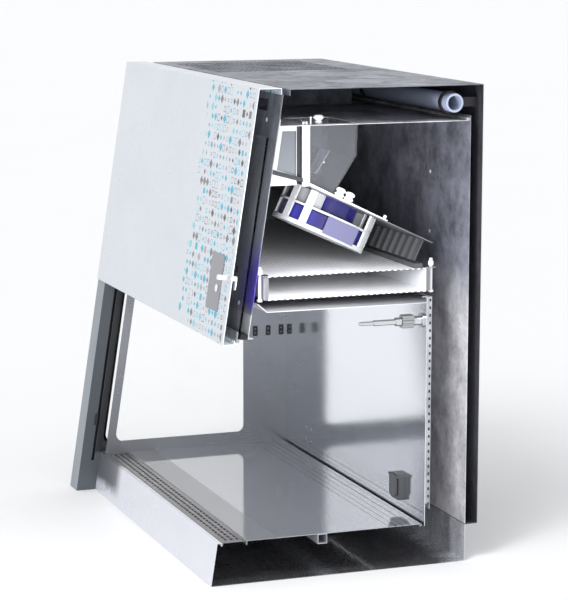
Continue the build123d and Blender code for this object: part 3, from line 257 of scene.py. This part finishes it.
def painted(name, colour, rough=0.34, shade=0.93, coat=0.2, skin_scale=420.0, depth=0.1,
            section=1.0):
    """Sprayed or moulded finish: nearly even colour, wiped patches, fine skin.

    section is the share of the colour kept on the faces that look straight out of the open end, a
    painted shade on them."""
    material, tree, skin, place = new_finish(name, Coat_Weight=coat, Coat_Roughness=0.12)
    marks = use(tree, handling, Place=place, Amount=1.0)["Mask"]
    tint = noise(tree, place, 2.2, 2.0)
    base = blend_colours(tree, remap(tree, tint, 0.35, 0.65, 0.0, 1.0), part_of(colour, shade),
                         colour)
    base = blend_colours(tree, calc(tree, "MULTIPLY", marks, 0.10), base, part_of(colour, 0.72))
    # painted shade: faces that look straight out of the open end take a darker copy of the colour
    if section < 1.0:
        outward = remap(tree, facing(tree)[0], 0.6, 0.9, 0.0, 1.0)
        base = blend_colours(tree, outward, base, part_of(colour, section))
    tree.links.new(base, skin.inputs["Base Color"])
    roughen(tree, skin, marks, rough, rough + 0.16)
    fine_skin(tree, skin, place, skin_scale, depth)
    return material, tree, skin, place, base


def even(*given, **named):
    """A painted finish with nothing added to it."""
    return painted(*given, **named)[0]


def zinc(name, light, dark, scale=7.0, rough=(0.32, 0.5), metallic=0.75):
    """Dipped zinc sheet with cloudy patches."""
    material, tree, skin, place = new_finish(name, Metallic=metallic)
    mottle = use(tree, zinc_mottle, Place=place, Scale=scale)
    tree.links.new(blend_colours(tree, mottle["Mask"], dark, light), skin.inputs["Base Color"])
    roughen(tree, skin, mottle["Mask"], rough[1], rough[0])
    fine_skin(tree, skin, place, 120.0, 0.15)
    return material


def rolled(name, colour, rough=(0.10, 0.22), stretch=(0.6, 40.0, 40.0), grain=0.12,
           metallic=1.0):
    """Polished sheet with hair-fine rolled lines and wiped patches."""
    material, tree, skin, place = new_finish(name, Metallic=metallic)
    lines = use(tree, brushed_grain, Place=place, Scale=30.0, Stretch=stretch)["Lines"]
    marks = use(tree, handling, Place=place, Amount=1.0)["Mask"]
    base = blend_colours(tree, calc(tree, "MULTIPLY", lines, grain), colour, part_of(colour, 0.7))
    tree.links.new(base, skin.inputs["Base Color"])
    shine = calc(tree, "ADD", remap(tree, marks, 0.0, 1.0, rough[0], rough[1]),
                 calc(tree, "MULTIPLY", lines, 0.05))
    tree.links.new(shine, skin.inputs["Roughness"])
    emboss(tree, skin, lines, 0.05, 0.0004)
    return material, tree, skin, place, base


def stainless(*given, **named):
    """A rolled sheet with nothing added to it."""
    return rolled(*given, **named)[0]


def clear(name, colour, rough=0.02, haze=0.05, ior=1.45, through=1.0):
    """See-through pane: wiped haze only shows in the roughness."""
    material, tree, skin, place = new_finish(name, Transmission_Weight=through, IOR=ior)
    skin.inputs["Base Color"].default_value = (*colour, 1)
    marks = use(tree, handling, Place=place, Amount=1.0)["Mask"]
    roughen(tree, skin, marks, rough, rough + haze)
    return material


# ---------------------------------------------------------------- finishes
def cover_print():
    """White enamel with a printed field of small squares and diamonds near the section end.

    The field is a staggered grid of cells; in each, a random number picks a motif, its size
    and its colour, and fewer cells are filled towards the field's left edge."""
    material, tree, skin, place, base = painted("cover white enamel", (0.61, 0.645, 0.69), 0.26,
                                                0.97, 0.3)
    cell = 0.0262
    field_left, field_right = 0.215, 0.600
    thinning = (0.20, 0.34)
    diamond_scale, ring_width = 0.74, 0.085
    across, _, height = split(tree, place)
    height = calc(tree, "DIVIDE", height, cos(lean))
    row = calc(tree, "FLOOR", calc(tree, "DIVIDE", height, cell))
    stagger = calc(tree, "MULTIPLY", calc(tree, "MODULO", row, 3.0), cell / 3)
    column_at = calc(tree, "DIVIDE", calc(tree, "ADD", across, stagger), cell)
    column = calc(tree, "FLOOR", column_at)
    u = calc(tree, "SUBTRACT", column_at, column)
    u = calc(tree, "ABSOLUTE", calc(tree, "SUBTRACT", u, 0.5))
    v = calc(tree, "SUBTRACT", calc(tree, "DIVIDE", height, cell), row)
    v = calc(tree, "ABSOLUTE", calc(tree, "SUBTRACT", v, 0.5))
    seat = tree.nodes.new("ShaderNodeCombineXYZ")
    tree.links.new(column, seat.inputs[0])
    tree.links.new(row, seat.inputs[1])
    chance = tree.nodes.new("ShaderNodeTexWhiteNoise")
    tree.links.new(seat.outputs[0], chance.inputs["Vector"])
    rolls = tree.nodes.new("ShaderNodeSeparateColor")
    tree.links.new(chance.outputs["Color"], rolls.inputs[0])
    pick, size_roll, kind_roll = rolls.outputs
    square = calc(tree, "MAXIMUM", u, v)
    diamond = calc(tree, "MULTIPLY", calc(tree, "ADD", u, v), diamond_scale)
    is_diamond = calc(tree, "GREATER_THAN", kind_roll, 0.5)
    reach = remap(tree, is_diamond, 0.0, 1.0, square, diamond)
    size = remap(tree, size_roll, 0.0, 1.0, 0.16, 0.42)
    inside = calc(tree, "LESS_THAN", reach, size)
    hollow = calc(tree, "LESS_THAN", reach, calc(tree, "SUBTRACT", size, ring_width))
    outline_only = calc(tree, "LESS_THAN", kind_roll, 0.42)
    ink = calc(tree, "SUBTRACT", inside, calc(tree, "MULTIPLY", hollow, outline_only))
    filled = remap(tree, across, *thinning, 0.35, 0.96)
    for limit in (calc(tree, "LESS_THAN", chance.outputs["Value"], filled),
                  calc(tree, "GREATER_THAN", across, field_left),
                  calc(tree, "LESS_THAN", across, field_right),
                  calc(tree, "LESS_THAN", facing(tree)[1], -0.9)):
        ink = calc(tree, "MULTIPLY", ink, limit)
    inks = tree.nodes.new("ShaderNodeValToRGB")
    inks.color_ramp.interpolation = "CONSTANT"
    stops = [(0.0, (0.006, 0.37, 0.54)), (0.34, (0.20, 0.52, 0.62)),
             (0.50, (0.14, 0.135, 0.145)), (0.68, (0.34, 0.31, 0.34)),
             (0.82, (0.022, 0.020, 0.025))]
    for start, _ in stops[2:]:
        inks.color_ramp.elements.new(start)
    for element, (start, colour) in zip(inks.color_ramp.elements, stops):
        element.position = start
        element.color = (*colour, 1)
    tree.links.new(pick, inks.inputs[0])
    printed = blend_colours(tree, ink, base, inks.outputs[0])
    tree.links.new(printed, skin.inputs["Base Color"])
    return material


def inner_wall_paint():
    """Dark sheet with faint upright streaks, and a violet patch near the section."""
    material, tree, skin, place = new_finish("dark wall sheet", Metallic=0.2)
    mottle = use(tree, zinc_mottle, Place=place, Scale=12.0)
    base = blend_colours(tree, mottle["Mask"], (0.10, 0.105, 0.12), (0.30, 0.31, 0.35))
    patch_foot, patch_top, patch_side = (0.745, 0.775), (0.86, 0.96), (0.48, 0.545)
    bare_foot = (0.742, 0.748)
    x, _, z = split(tree, place)
    above = remap(tree, z, *patch_foot, 0.0, 1.0)
    below = remap(tree, z, *patch_top, 1.0, 0.0)
    beside = remap(tree, x, *patch_side, 0.0, 1.0)
    patch = calc(tree, "MULTIPLY", calc(tree, "MULTIPLY", above, below), beside)
    base = blend_colours(tree, calc(tree, "MULTIPLY", patch, 0.92), base, (0.060, 0.040, 0.33))
    foot = calc(tree, "MULTIPLY", remap(tree, z, *bare_foot, 1.0, 0.0),
                remap(tree, x, 0.47, 0.63, 0.15, 1.0))
    base = blend_colours(tree, foot, base, (0.50, 0.51, 0.53))
    tree.links.new(base, skin.inputs["Base Color"])
    roughen(tree, skin, mottle["Mask"], 0.48, 0.34)
    return material


def woven_guard(name, depth):
    """White coated mesh: two sets of slanting fine wires, with shadowed holes.

    depth is how dark the holes are; the punched edge at the section keeps its dark dashes."""
    material, tree, skin, place = new_finish(name, Roughness=0.5)
    wire_pitch, dash_pitch, slant = 0.0185, 0.0175, 0.35
    x, y, _ = split(tree, place)
    one = wave(tree, calc(tree, "ADD", x, y), wire_pitch, -0.1, 0.35)
    slanted = calc(tree, "SUBTRACT", x, calc(tree, "MULTIPLY", y, slant))
    other = wave(tree, slanted, wire_pitch, -0.1, 0.35)
    hole = calc(tree, "MULTIPLY", one, other)
    base = blend_colours(tree, calc(tree, "MULTIPLY", hole, depth), (0.97, 0.975, 0.99),
                         (0.28, 0.29, 0.33))
    on_edge = calc(tree, "LESS_THAN", facing(tree)[2], 0.5)
    dashes = calc(tree, "MULTIPLY", on_edge, wave(tree, y, dash_pitch, -0.3, 0.1))
    base = blend_colours(tree, dashes, base, (0.05, 0.05, 0.06))
    tree.links.new(base, skin.inputs["Base Color"])
    emboss(tree, skin, hole, 0.45 * depth, 0.001, invert=True)
    return material


def core_edge():
    """Light foil on the cut edge of the rear wall, with a row of dark punched slots."""
    material, tree, skin, place = new_finish("core foil", Metallic=0.35)
    mottle = use(tree, zinc_mottle, Place=place, Scale=26.0)
    base = blend_colours(tree, mottle["Mask"], (0.24, 0.25, 0.28), (0.56, 0.57, 0.61))
    slot_pitch, half_slot, half_core = 0.0215, 0.0028, 0.009
    _, y, z = split(tree, place)
    row = wave(tree, z, slot_pitch, 0.25, 0.45)
    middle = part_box("rear_wall_core")[0][1] + half_core
    off_middle = calc(tree, "ABSOLUTE", calc(tree, "SUBTRACT", y, middle))
    slots = calc(tree, "MULTIPLY", row, calc(tree, "LESS_THAN", off_middle, half_slot))
    base = blend_colours(tree, slots, base, (0.03, 0.03, 0.035))
    tree.links.new(base, skin.inputs["Base Color"])
    roughen(tree, skin, mottle["Mask"], 0.5, 0.36)
    return material


def pan_enamel():
    """Black gloss pan: cloudy light streaks on the bottom, partly grain and partly painted
    highlight, a painted sheen band beside the hat line, and a light mottled painted reflection at
    the rear.
    """
    material, tree, skin, place = new_finish("pan enamel", Coat_Weight=0.5, Coat_Roughness=0.08)
    hat_line = -0.027
    rear_reflection_from = (0.37, 0.43)
    x, y, _ = split(tree, place)
    # cloudy light streaks: partly grain, partly painted highlight
    drawn = vector_calc(tree, "MULTIPLY", place, (3.0, 0.8, 3.0))
    clouds = noise(tree, drawn, 9.0, 6.0, 0.7, 1.2)
    fine = noise(tree, place, 150.0, 3.0, 0.7)
    light = remap(tree, clouds, 0.54, 0.74, 0.0, 0.5)
    # painted highlight: a sheen band beside the hat line, weaker towards the section end
    beside_hat = calc(tree, "ABSOLUTE", calc(tree, "SUBTRACT", y, hat_line))
    sheen_band = calc(tree, "MULTIPLY", remap(tree, beside_hat, 0.008, 0.048, 1.0, 0.0),
                      remap(tree, x, 0.05, 0.40, 1.0, 0.5))
    light = calc(tree, "MAXIMUM", light, sheen_band)
    light = calc(tree, "MULTIPLY", light, remap(tree, fine, 0.3, 0.65, 0.2, 1.0))
    base = blend_colours(tree, light, (0.060, 0.060, 0.066), (0.34, 0.345, 0.37))
    # painted reflection: light mottled grey over the rear of the pan
    rear_reflection = use(tree, zinc_mottle, Place=place, Scale=11.0)["Mask"]
    rear_reflection_colour = blend_colours(tree, rear_reflection, (0.20, 0.205, 0.23), (0.70, 0.71, 0.76))
    ragged = calc(tree, "ADD", y, calc(tree, "MULTIPLY", clouds, 0.10))
    rear = remap(tree, ragged, *rear_reflection_from, 0.0, 1.0)
    base = blend_colours(tree, rear, base, rear_reflection_colour)
    tree.links.new(base, skin.inputs["Base Color"])
    tree.links.new(remap(tree, fine, 0.3, 0.7, 0.16, 0.34), skin.inputs["Roughness"])
    return material


def fascia_enamel():
    """White front plate; its left end lies in the soft dark shade of the column."""
    material, tree, skin, place, base = painted("fascia white enamel", (0.66, 0.67, 0.73), 0.26,
                                                0.97, 0.3)
    shade_side, shade_foot = (-0.345, -0.29), (0.045, 0.072)
    x, _, z = split(tree, place)
    ragged = calc(tree, "MULTIPLY", noise(tree, place, 22.0, 2.0), 0.04)
    beside = remap(tree, x, *shade_side, 1.0, 0.0)
    above = remap(tree, calc(tree, "ADD", z, ragged), *shade_foot, 0.0, 1.0)
    shade = calc(tree, "MULTIPLY", calc(tree, "MULTIPLY", beside, above), 0.86)
    shaded = blend_colours(tree, shade, base, (0.03, 0.034, 0.04))
    tree.links.new(shaded, skin.inputs["Base Color"])
    return material


def column_enamel():
    """Grey column: the faces that look sideways get a painted shade, darker than the leaning
    front.
    """
    material, tree, skin, _, base = painted("column grey enamel", (0.205, 0.24, 0.275), 0.34,
                                            0.9, 0.25)
    # painted shade: the faces that look sideways take a darker grey
    side_shade = calc(tree, "GREATER_THAN", calc(tree, "ABSOLUTE", facing(tree)[0]), 0.7)
    tree.links.new(blend_colours(tree, side_shade, base, (0.085, 0.100, 0.116)),
                   skin.inputs["Base Color"])
    return material


def plenum_zinc():
    """Dipped plenum sheet: darker beside the fan, lighter lower down the return air way."""
    material, tree, skin, place = new_finish("plenum zinc", Metallic=0.1)
    mottle = use(tree, zinc_mottle, Place=place, Scale=11.0)
    lighter_below = (0.70, 0.84)
    lower = remap(tree, split(tree, place)[2], *lighter_below, 1.0, 0.0)
    dark = blend_colours(tree, lower, (0.060, 0.062, 0.078), (0.30, 0.30, 0.335))
    light = blend_colours(tree, lower, (0.32, 0.33, 0.40), (0.98, 0.97, 1.0))
    clouds = noise(tree, place, 11.0, 8.0, 0.72, 0.25)
    sharp = calc(tree, "MULTIPLY", remap(tree, clouds, 0.36, 0.64, 0.0, 1.0), 0.72)
    cloudy = calc(tree, "ADD", sharp, calc(tree, "MULTIPLY", mottle["Mask"], 0.28))
    tree.links.new(blend_colours(tree, cloudy, dark, light), skin.inputs["Base Color"])
    roughen(tree, skin, mottle["Mask"], 0.5, 0.34)
    fine_skin(tree, skin, place, 120.0, 0.15)
    return material


def box_enamel():
    """Control box: grey panel in its recess, white folded rim round it."""
    material, tree, skin, place, base = painted("box enamel", (0.115, 0.125, 0.14), 0.38, 0.93)
    rim_depth = 0.003
    rim = calc(tree, "GREATER_THAN", split(tree, place)[0],
               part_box("electronics_box")[1][0] - rim_depth)
    tree.links.new(blend_colours(tree, rim, base, (0.38, 0.39, 0.41)), skin.inputs["Base Color"])
    return material


def combed_grille():
    """Satin intake grille; a comb of short dark slits runs along its left end."""
    material, tree, skin, place, base = rolled("grille satin", (0.22, 0.215, 0.225),
                                               (0.24, 0.34), metallic=0.5)
    slit_pitch, half_slit, to_comb = 0.0092, 0.011, 0.016
    x, y, _ = split(tree, place)
    comb_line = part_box("front_grille")[0][0] + to_comb
    off_line = calc(tree, "ABSOLUTE", calc(tree, "SUBTRACT", x, comb_line))
    slits = calc(tree, "MULTIPLY", wave(tree, y, slit_pitch, 0.0, 0.3),
                 calc(tree, "LESS_THAN", off_line, half_slit))
    tree.links.new(blend_colours(tree, slits, base, (0.012, 0.012, 0.014)),
                   skin.inputs["Base Color"])
    return material


def polished_worktop():
    """Polished sheet: rolled lines, pressed lines along the rear edge, a duller front zone."""
    material, tree, skin, place = new_finish("worktop polished", Metallic=0.62)
    lines = use(tree, brushed_grain, Place=place, Scale=30.0, Stretch=(0.6, 40.0, 40.0))["Lines"]
    marks = use(tree, handling, Place=place, Amount=1.0)["Mask"]
    base = blend_colours(tree, calc(tree, "MULTIPLY", lines, 0.10), (0.46, 0.47, 0.51),
                         (0.32, 0.33, 0.36))
    line_pitch, to_lines, half_lines = 0.0212, 0.075, 0.042
    front_line, soft_edge = -0.178, 0.002
    y = split(tree, place)[1]
    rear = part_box("worktop")[1][1]
    off_lines = calc(tree, "ABSOLUTE", calc(tree, "SUBTRACT", y, rear - to_lines))
    stripes = wave(tree, calc(tree, "SUBTRACT", y, rear), line_pitch, 0.93, 0.98)
    pressed = calc(tree, "MULTIPLY", stripes, calc(tree, "LESS_THAN", off_lines, half_lines))
    base = blend_colours(tree, pressed, base, (0.06, 0.06, 0.07))
    brushed = remap(tree, y, front_line - soft_edge, front_line + soft_edge, 1.0, 0.0)
    base = blend_colours(tree, brushed, base, (0.255, 0.265, 0.285))
    tree.links.new(remap(tree, brushed, 0.0, 1.0, 0.62, 0.12), skin.inputs["Metallic"])
    tree.links.new(base, skin.inputs["Base Color"])
    shine = calc(tree, "ADD", remap(tree, marks, 0.0, 1.0, 0.045, 0.085),
                 calc(tree, "MULTIPLY", lines, 0.02))
    tree.links.new(shine, skin.inputs["Roughness"])
    return material


def perforated_zinc():
    """Roof grille: zinc with fine rows of dark spots between the real holes."""
    material, tree, skin, place = new_finish("grille zinc", Metallic=0.4)
    mottle = use(tree, zinc_mottle, Place=place, Scale=9.0)
    base = blend_colours(tree, mottle["Mask"], (0.06, 0.065, 0.085), (0.25, 0.275, 0.33))
    hole_pitch, row_pitch = 0.012, 0.008
    x, y, _ = split(tree, place)
    holes = calc(tree, "MULTIPLY", wave(tree, x, hole_pitch, 0.2, 0.5),
                 wave(tree, y, row_pitch, -0.2, 0.3))
    base = blend_colours(tree, calc(tree, "MULTIPLY", holes, 0.9), base, (0.012, 0.012, 0.014))
    tree.links.new(base, skin.inputs["Base Color"])
    roughen(tree, skin, mottle["Mask"], 0.5, 0.34)
    return material


def filter_paper():
    """Off-white pleated paper with fibres."""
    material, tree, skin, place = new_finish("filter paper", Roughness=0.85)
    fibres = noise(tree, place, 260.0, 3.0, 0.7)
    base = blend_colours(tree, remap(tree, fibres, 0.35, 0.65, 0.0, 1.0), (0.70, 0.70, 0.72),
                         (0.86, 0.86, 0.87))
    tree.links.new(base, skin.inputs["Base Color"])
    emboss(tree, skin, fibres, 0.3, 0.0005)
    return material


# ---------------------------------------------------------------- small fittings
def domes(name, spots, outward, radius, rise, finish, rides, slot_name):
    """Flat round heads: each is a quarter ellipse turned about its axis, closed underneath.

    A point at turn a and climb c lies radius*cos(c) from the axis and rise*sin(c) above the
    plate, along the outward direction."""
    outward = Vector(outward).normalized()
    first = outward.orthogonal().normalized()
    second = outward.cross(first)
    turns, climbs = 24, 7
    points, faces = [], []
    for spot in spots:
        start = len(points)
        for c in np.linspace(0.0, pi / 2, climbs)[:-1]:
            for a in np.linspace(0.0, 2 * pi, turns, endpoint=False):
                across = first * cos(a) + second * sin(a)
                points.append(Vector(spot) + across * radius * cos(c) + outward * rise * sin(c))
        points.append(Vector(spot) + outward * rise)
        for ring in range(climbs - 2):
            for a in range(turns):
                here, there = start + ring * turns + a, start + ring * turns + (a + 1) % turns
                faces.append((here, there, there + turns, here + turns))
        top, last = len(points) - 1, start + (climbs - 2) * turns
        faces += [(last + a, last + (a + 1) % turns, top) for a in range(turns)]
        faces.append(tuple(start + a for a in reversed(range(turns))))
    shape = bpy.data.meshes.new(name)
    shape.from_pydata([tuple(point) for point in points], [], faces)
    shape.polygons.foreach_set("use_smooth", [len(face) < 5 for face in faces])
    shape.materials.append(finish)
    piece = bpy.data.objects.new(name, shape)
    bpy.context.scene.collection.objects.link(piece)
    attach(piece, rides)
    return piece


finishes = {
    "cover": cover_print(),
    "white": fascia_enamel(),
    "column": column_enamel(),
    "side": even("side grey enamel", (0.30, 0.33, 0.36), 0.36, 0.92, 0.2),
    "inner wall": inner_wall_paint(),
    "strip": even("dark grey strip", (0.026, 0.029, 0.033), 0.5, 0.8),
    "roof zinc": zinc("roof zinc", (0.28, 0.30, 0.37), (0.05, 0.055, 0.075), 9.0, metallic=0.35),
    "grille zinc": perforated_zinc(),
    "plenum zinc": plenum_zinc(),
    "ceiling zinc": zinc("ceiling zinc", (0.80, 0.80, 0.84), (0.12, 0.12, 0.13), 8.0,
                         metallic=0.1),
    "edge zinc": zinc("edge zinc", (0.62, 0.63, 0.68), (0.22, 0.23, 0.26), 22.0, metallic=0.4),
    "core edge": core_edge(),
    "deck zinc": zinc("deck zinc", (0.20, 0.205, 0.23), (0.06, 0.063, 0.072), 10.0, metallic=0.3),
    # the rear panel's near-black zinc is partly a painted shade for the shaded rear cavity
    "rear panel": zinc("rear panel zinc", (0.12, 0.122, 0.14), (0.035, 0.035, 0.042), 9.0,
                       (0.3, 0.45), 0.2),
    "worktop": polished_worktop(),
    "grille": combed_grille(),
    "chamber": stainless("chamber polished", (0.86, 0.88, 0.93), (0.07, 0.12),
                         (0.5, 30.0, 30.0), 0.05, 1.0),
    "liner": stainless("liner polished", (0.30, 0.31, 0.335), (0.18, 0.3), (30.0, 0.6, 30.0), 0.12,
                       0.6),
    "diffuser": stainless("diffuser satin", (0.52, 0.53, 0.56), (0.28, 0.42), metallic=0.15),
    "pan": pan_enamel(),
    "rubber": even("black rubber", (0.012, 0.012, 0.014), 0.62, 0.8, 0.0, 600.0, 0.3),
    "bellows": even("bellows rubber", (0.085, 0.088, 0.095), 0.5, 0.7, 0.1, 500.0, 0.3),
    # section= gives these mouldings a painted shade on the faces toward the open end
    "white plastic": even("moulded white", (0.80, 0.80, 0.82), 0.32, 0.96, 0.2, section=0.78),
    "fan grey": even("moulded light grey", (0.52, 0.53, 0.55), 0.36, 0.94, 0.15, section=0.34),
    "fan frame": even("moulded frame grey", (0.60, 0.61, 0.63), 0.36, 0.94, 0.15, section=0.62),
    "fan blue": even("moulded blue", (0.038, 0.034, 0.27), 0.30, 0.85, 0.2, section=0.30),
    # the lavender of the terminal plate is partly a painted highlight on the blue moulding
    "lavender": even("moulded lavender", (0.27, 0.27, 0.48), 0.34, 0.94, 0.2, section=0.32),
    "socket grey": even("socket grey", (0.085, 0.09, 0.095), 0.4, 0.85),
    "display": even("display grey film", (0.245, 0.25, 0.275), 0.3, 0.95, 0.2),
    "black plastic": even("black plastic", (0.015, 0.015, 0.018), 0.45, 0.8, 0.1),
    "box": box_enamel(),
    "steel": stainless("turned steel", (0.50, 0.51, 0.53), (0.22, 0.34)),
    "chrome": stainless("bright plating", (0.72, 0.73, 0.75), (0.05, 0.12),
                        (20.0, 20.0, 20.0), 0.05),
    "pipe": even("pipe blue grey", (0.42, 0.47, 0.62), 0.36, 0.85),
    "glass": clear("float glass", (1.0, 1.0, 1.0), 0.0, 0.01, 1.22),
    "acrylic": clear("moulded clear", (0.80, 0.82, 0.88), 0.03, 0.08, 1.3, 0.95),
    "guard": woven_guard("woven guard white", 0.85),
    "lower guard": woven_guard("lower guard white", 0.06),
    "paper": filter_paper(),
    # section= gives the filter frame a painted shade on the faces toward the open end
    "frame white": even("filter frame white", (0.74, 0.75, 0.79), 0.4, 0.95, section=0.20),
}

finish_of = {
    "base_pan": "pan", "base_fascia": "white", "front_grille": "grille", "worktop": "worktop",
    "worktop_supports": "edge zinc", "side_panel": "side", "side_liner": "liner",
    "side_windows": "glass", "window_gaskets": "rubber", "service_ports": "black plastic",
    "front_column": "column", "sash_guide": "strip", "sash_stop_block": "strip",
    "chamber_rear_wall": "chamber", "rear_wall_core": "core edge", "rear_panel": "rear panel",
    "plenum_wall": "plenum zinc", "ceiling_panel": "ceiling zinc", "roof_panel": "roof zinc",
    "exhaust_grille": "grille zinc", "exhaust_filter_case": "plenum zinc",
    "exhaust_filter_pack": "paper", "inner_front_wall": "inner wall", "sash_seal": "rubber",
    "front_cover": "cover", "control_panel": "display", "cover_leaves": "steel",
    "roof_knuckles": "steel", "lock_knob": "white plastic", "cover_catch": "black plastic",
    "sash_glass": "glass", "sash_rail": "steel", "counterweight": "steel",
    "sash_pulley": "black plastic", "fan_deck": "deck zinc", "fan_frame": "fan frame",
    "fan_housing": "fan grey", "fan_motor": "fan blue", "fan_impeller": "fan blue",
    "terminal_plate": "lavender", "fan_hangers": "white plastic", "deck_rail": "strip",
    "deck_nuts": "white plastic", "exhaust_duct": "acrylic", "damper_blade": "edge zinc",
    "deck_bellows": "bellows", "filter_frame": "frame white", "filter_top_guard": "guard",
    "filter_lower_guard": "lower guard", "filter_pack": "paper", "filter_clamps": "white plastic",
    "clamp_brackets": "steel", "diffuser": "diffuser", "service_pipe": "pipe",
    "pipe_clips": "black plastic", "tap_body": "chrome", "tap_handwheel": "steel",
    "socket_body": "socket grey", "socket_flap": "socket grey", "electronics_box": "box",
}
for node, finish in finish_of.items():
    worn = nodes[node]
    if not worn.material_slots:
        worn.data.materials.append(finishes[finish])
    for seat in worn.material_slots:
        seat.material = finishes[finish]


forward_look = (0, -1, 0)
leaned_look = (0, -cos(lean), sin(lean))
rear_wall_face, plenum_face = 0.266, 0.391
screw_columns, screw_rows = (-0.316, -0.271), (0.163, 0.202)
rivet_column, lowest_rivet, rivet_step = 0.353, 0.220, 0.173

# each head is its radius and its rise above the plate
screw_head, rivet_head = (0.0055, 0.0022), (0.0050, 0.0020)
wall_rivet_head, lamp_lens = (0.0065, 0.0025), (0.0115, 0.0020)

domes("rear_wall_screws", [(x, rear_wall_face, z) for x in screw_columns for z in screw_rows],
      forward_look, *screw_head, finishes["steel"], "cabinet", "steel")
domes("plenum_rivets",
      [(rivet_column, plenum_face, lowest_rivet + rivet_step * step) for step in range(6)],
      forward_look, *rivet_head, finishes["white plastic"], "cabinet", "white_plastic")
domes("inner_wall_rivets", [(0.5245, -0.1706, 1.2636), (0.5210, -0.2470, 0.7646)],
      leaned_look, *wall_rivet_head, finishes["white plastic"], "cabinet", "white_plastic")
domes("display_lamp", [(0.5144, -0.3134, 0.8083)], leaned_look, *lamp_lens,
      finishes["white plastic"], "front_cover", "white_plastic")


# ---------------------------------------------------------------- floor, lamps, camera
def pale_ground():
    """Pale matt floor with the faintest unevenness."""
    material, tree, skin, place = new_finish("pale floor", Roughness=0.9)
    uneven = noise(tree, place, 0.8, 2.0)
    tree.links.new(blend_colours(tree, uneven, (0.965, 0.965, 0.965), (0.98, 0.98, 0.98)),
                   skin.inputs["Base Color"])
    return material


reach = 90.0
ground = bpy.data.meshes.new("ground")
ground.from_pydata([(-reach, -reach, 0), (reach, -reach, 0), (reach, reach, 0),
                    (-reach, reach, 0)], [], [(0, 1, 2, 3)])
ground.materials.append(pale_ground())
ground_piece = bpy.data.objects.new("ground", ground)
bpy.context.scene.collection.objects.link(ground_piece)

world = bpy.data.worlds.new("studio")
bpy.context.scene.world = world
world.use_nodes = True
sky = world.node_tree
sky.nodes.clear()
path = sky.nodes.new("ShaderNodeLightPath")
seen = calc(sky, "MAXIMUM", path.outputs["Is Camera Ray"], path.outputs["Is Glossy Ray"])
seen = calc(sky, "MAXIMUM", seen, path.outputs["Is Transmission Ray"])
sky_mix = sky.nodes.new("ShaderNodeMixShader")
sky_out = sky.nodes.new("ShaderNodeOutputWorld")
sky.links.new(seen, sky_mix.inputs[0])
for place, colour, strength in ((1, (0.97, 0.98, 1.0, 1), 0.80), (2, (1, 1, 1, 1), 1.0)):
    glow = sky.nodes.new("ShaderNodeBackground")
    glow.inputs["Color"].default_value = colour
    glow.inputs["Strength"].default_value = strength
    sky.links.new(glow.outputs[0], sky_mix.inputs[place])
sky.links.new(sky_mix.outputs[0], sky_out.inputs["Surface"])

key = bpy.data.lights.new("key", "SUN")
key.energy = 0.95
key.angle = radians(28)
key_lamp = bpy.data.objects.new("key", key)
key_lamp.rotation_euler = Vector((0.42, -0.62, 0.78)).to_track_quat("Z", "Y").to_euler()
bpy.context.scene.collection.objects.link(key_lamp)


def disk_lamp(name, size, energy, spot, aim):
    """A round soft lamp that lights the cabinet but shows in nothing."""
    light = bpy.data.lights.new(name, "AREA")
    light.shape = "DISK"
    light.size = size
    light.energy = energy
    lamp = bpy.data.objects.new(name, light)
    lamp.location = spot
    lamp.rotation_euler = (Vector(spot) - Vector(aim)).to_track_quat("Z", "Y").to_euler()
    lamp.visible_glossy = False
    lamp.visible_camera = False
    bpy.context.scene.collection.objects.link(lamp)


disk_lamp("section fill", 2.6, 46.0, (4.6, -1.9, 1.1), (0.6, 0.1, 0.8))
disk_lamp("filter fill", 0.25, 5.2, (1.0, -0.12, 0.99), (0.1, 0.05, 0.85))

camera = bpy.data.cameras.new("camera")
camera.sensor_width = 36.0
camera.lens = 137.96
camera.clip_end = 300.0
yaw, pitch, roll = radians(69.698), radians(9.419), radians(0.071)
forward = Vector((-sin(yaw) * cos(pitch), cos(yaw) * cos(pitch), -sin(pitch)))
right = Vector((cos(yaw), sin(yaw), 0))
upward = right.cross(forward)
turn = Matrix((right, upward, -forward)).transposed()
camera_piece = bpy.data.objects.new("camera", camera)
stand = Matrix.Translation((6.3773, -2.2856, 1.8008))
camera_piece.matrix_world = stand @ (turn @ Matrix.Rotation(roll, 3, "Z")).to_4x4()
bpy.context.scene.collection.objects.link(camera_piece)
bpy.context.scene.camera = camera_piece

bpy.context.scene.view_settings.view_transform = "Standard"
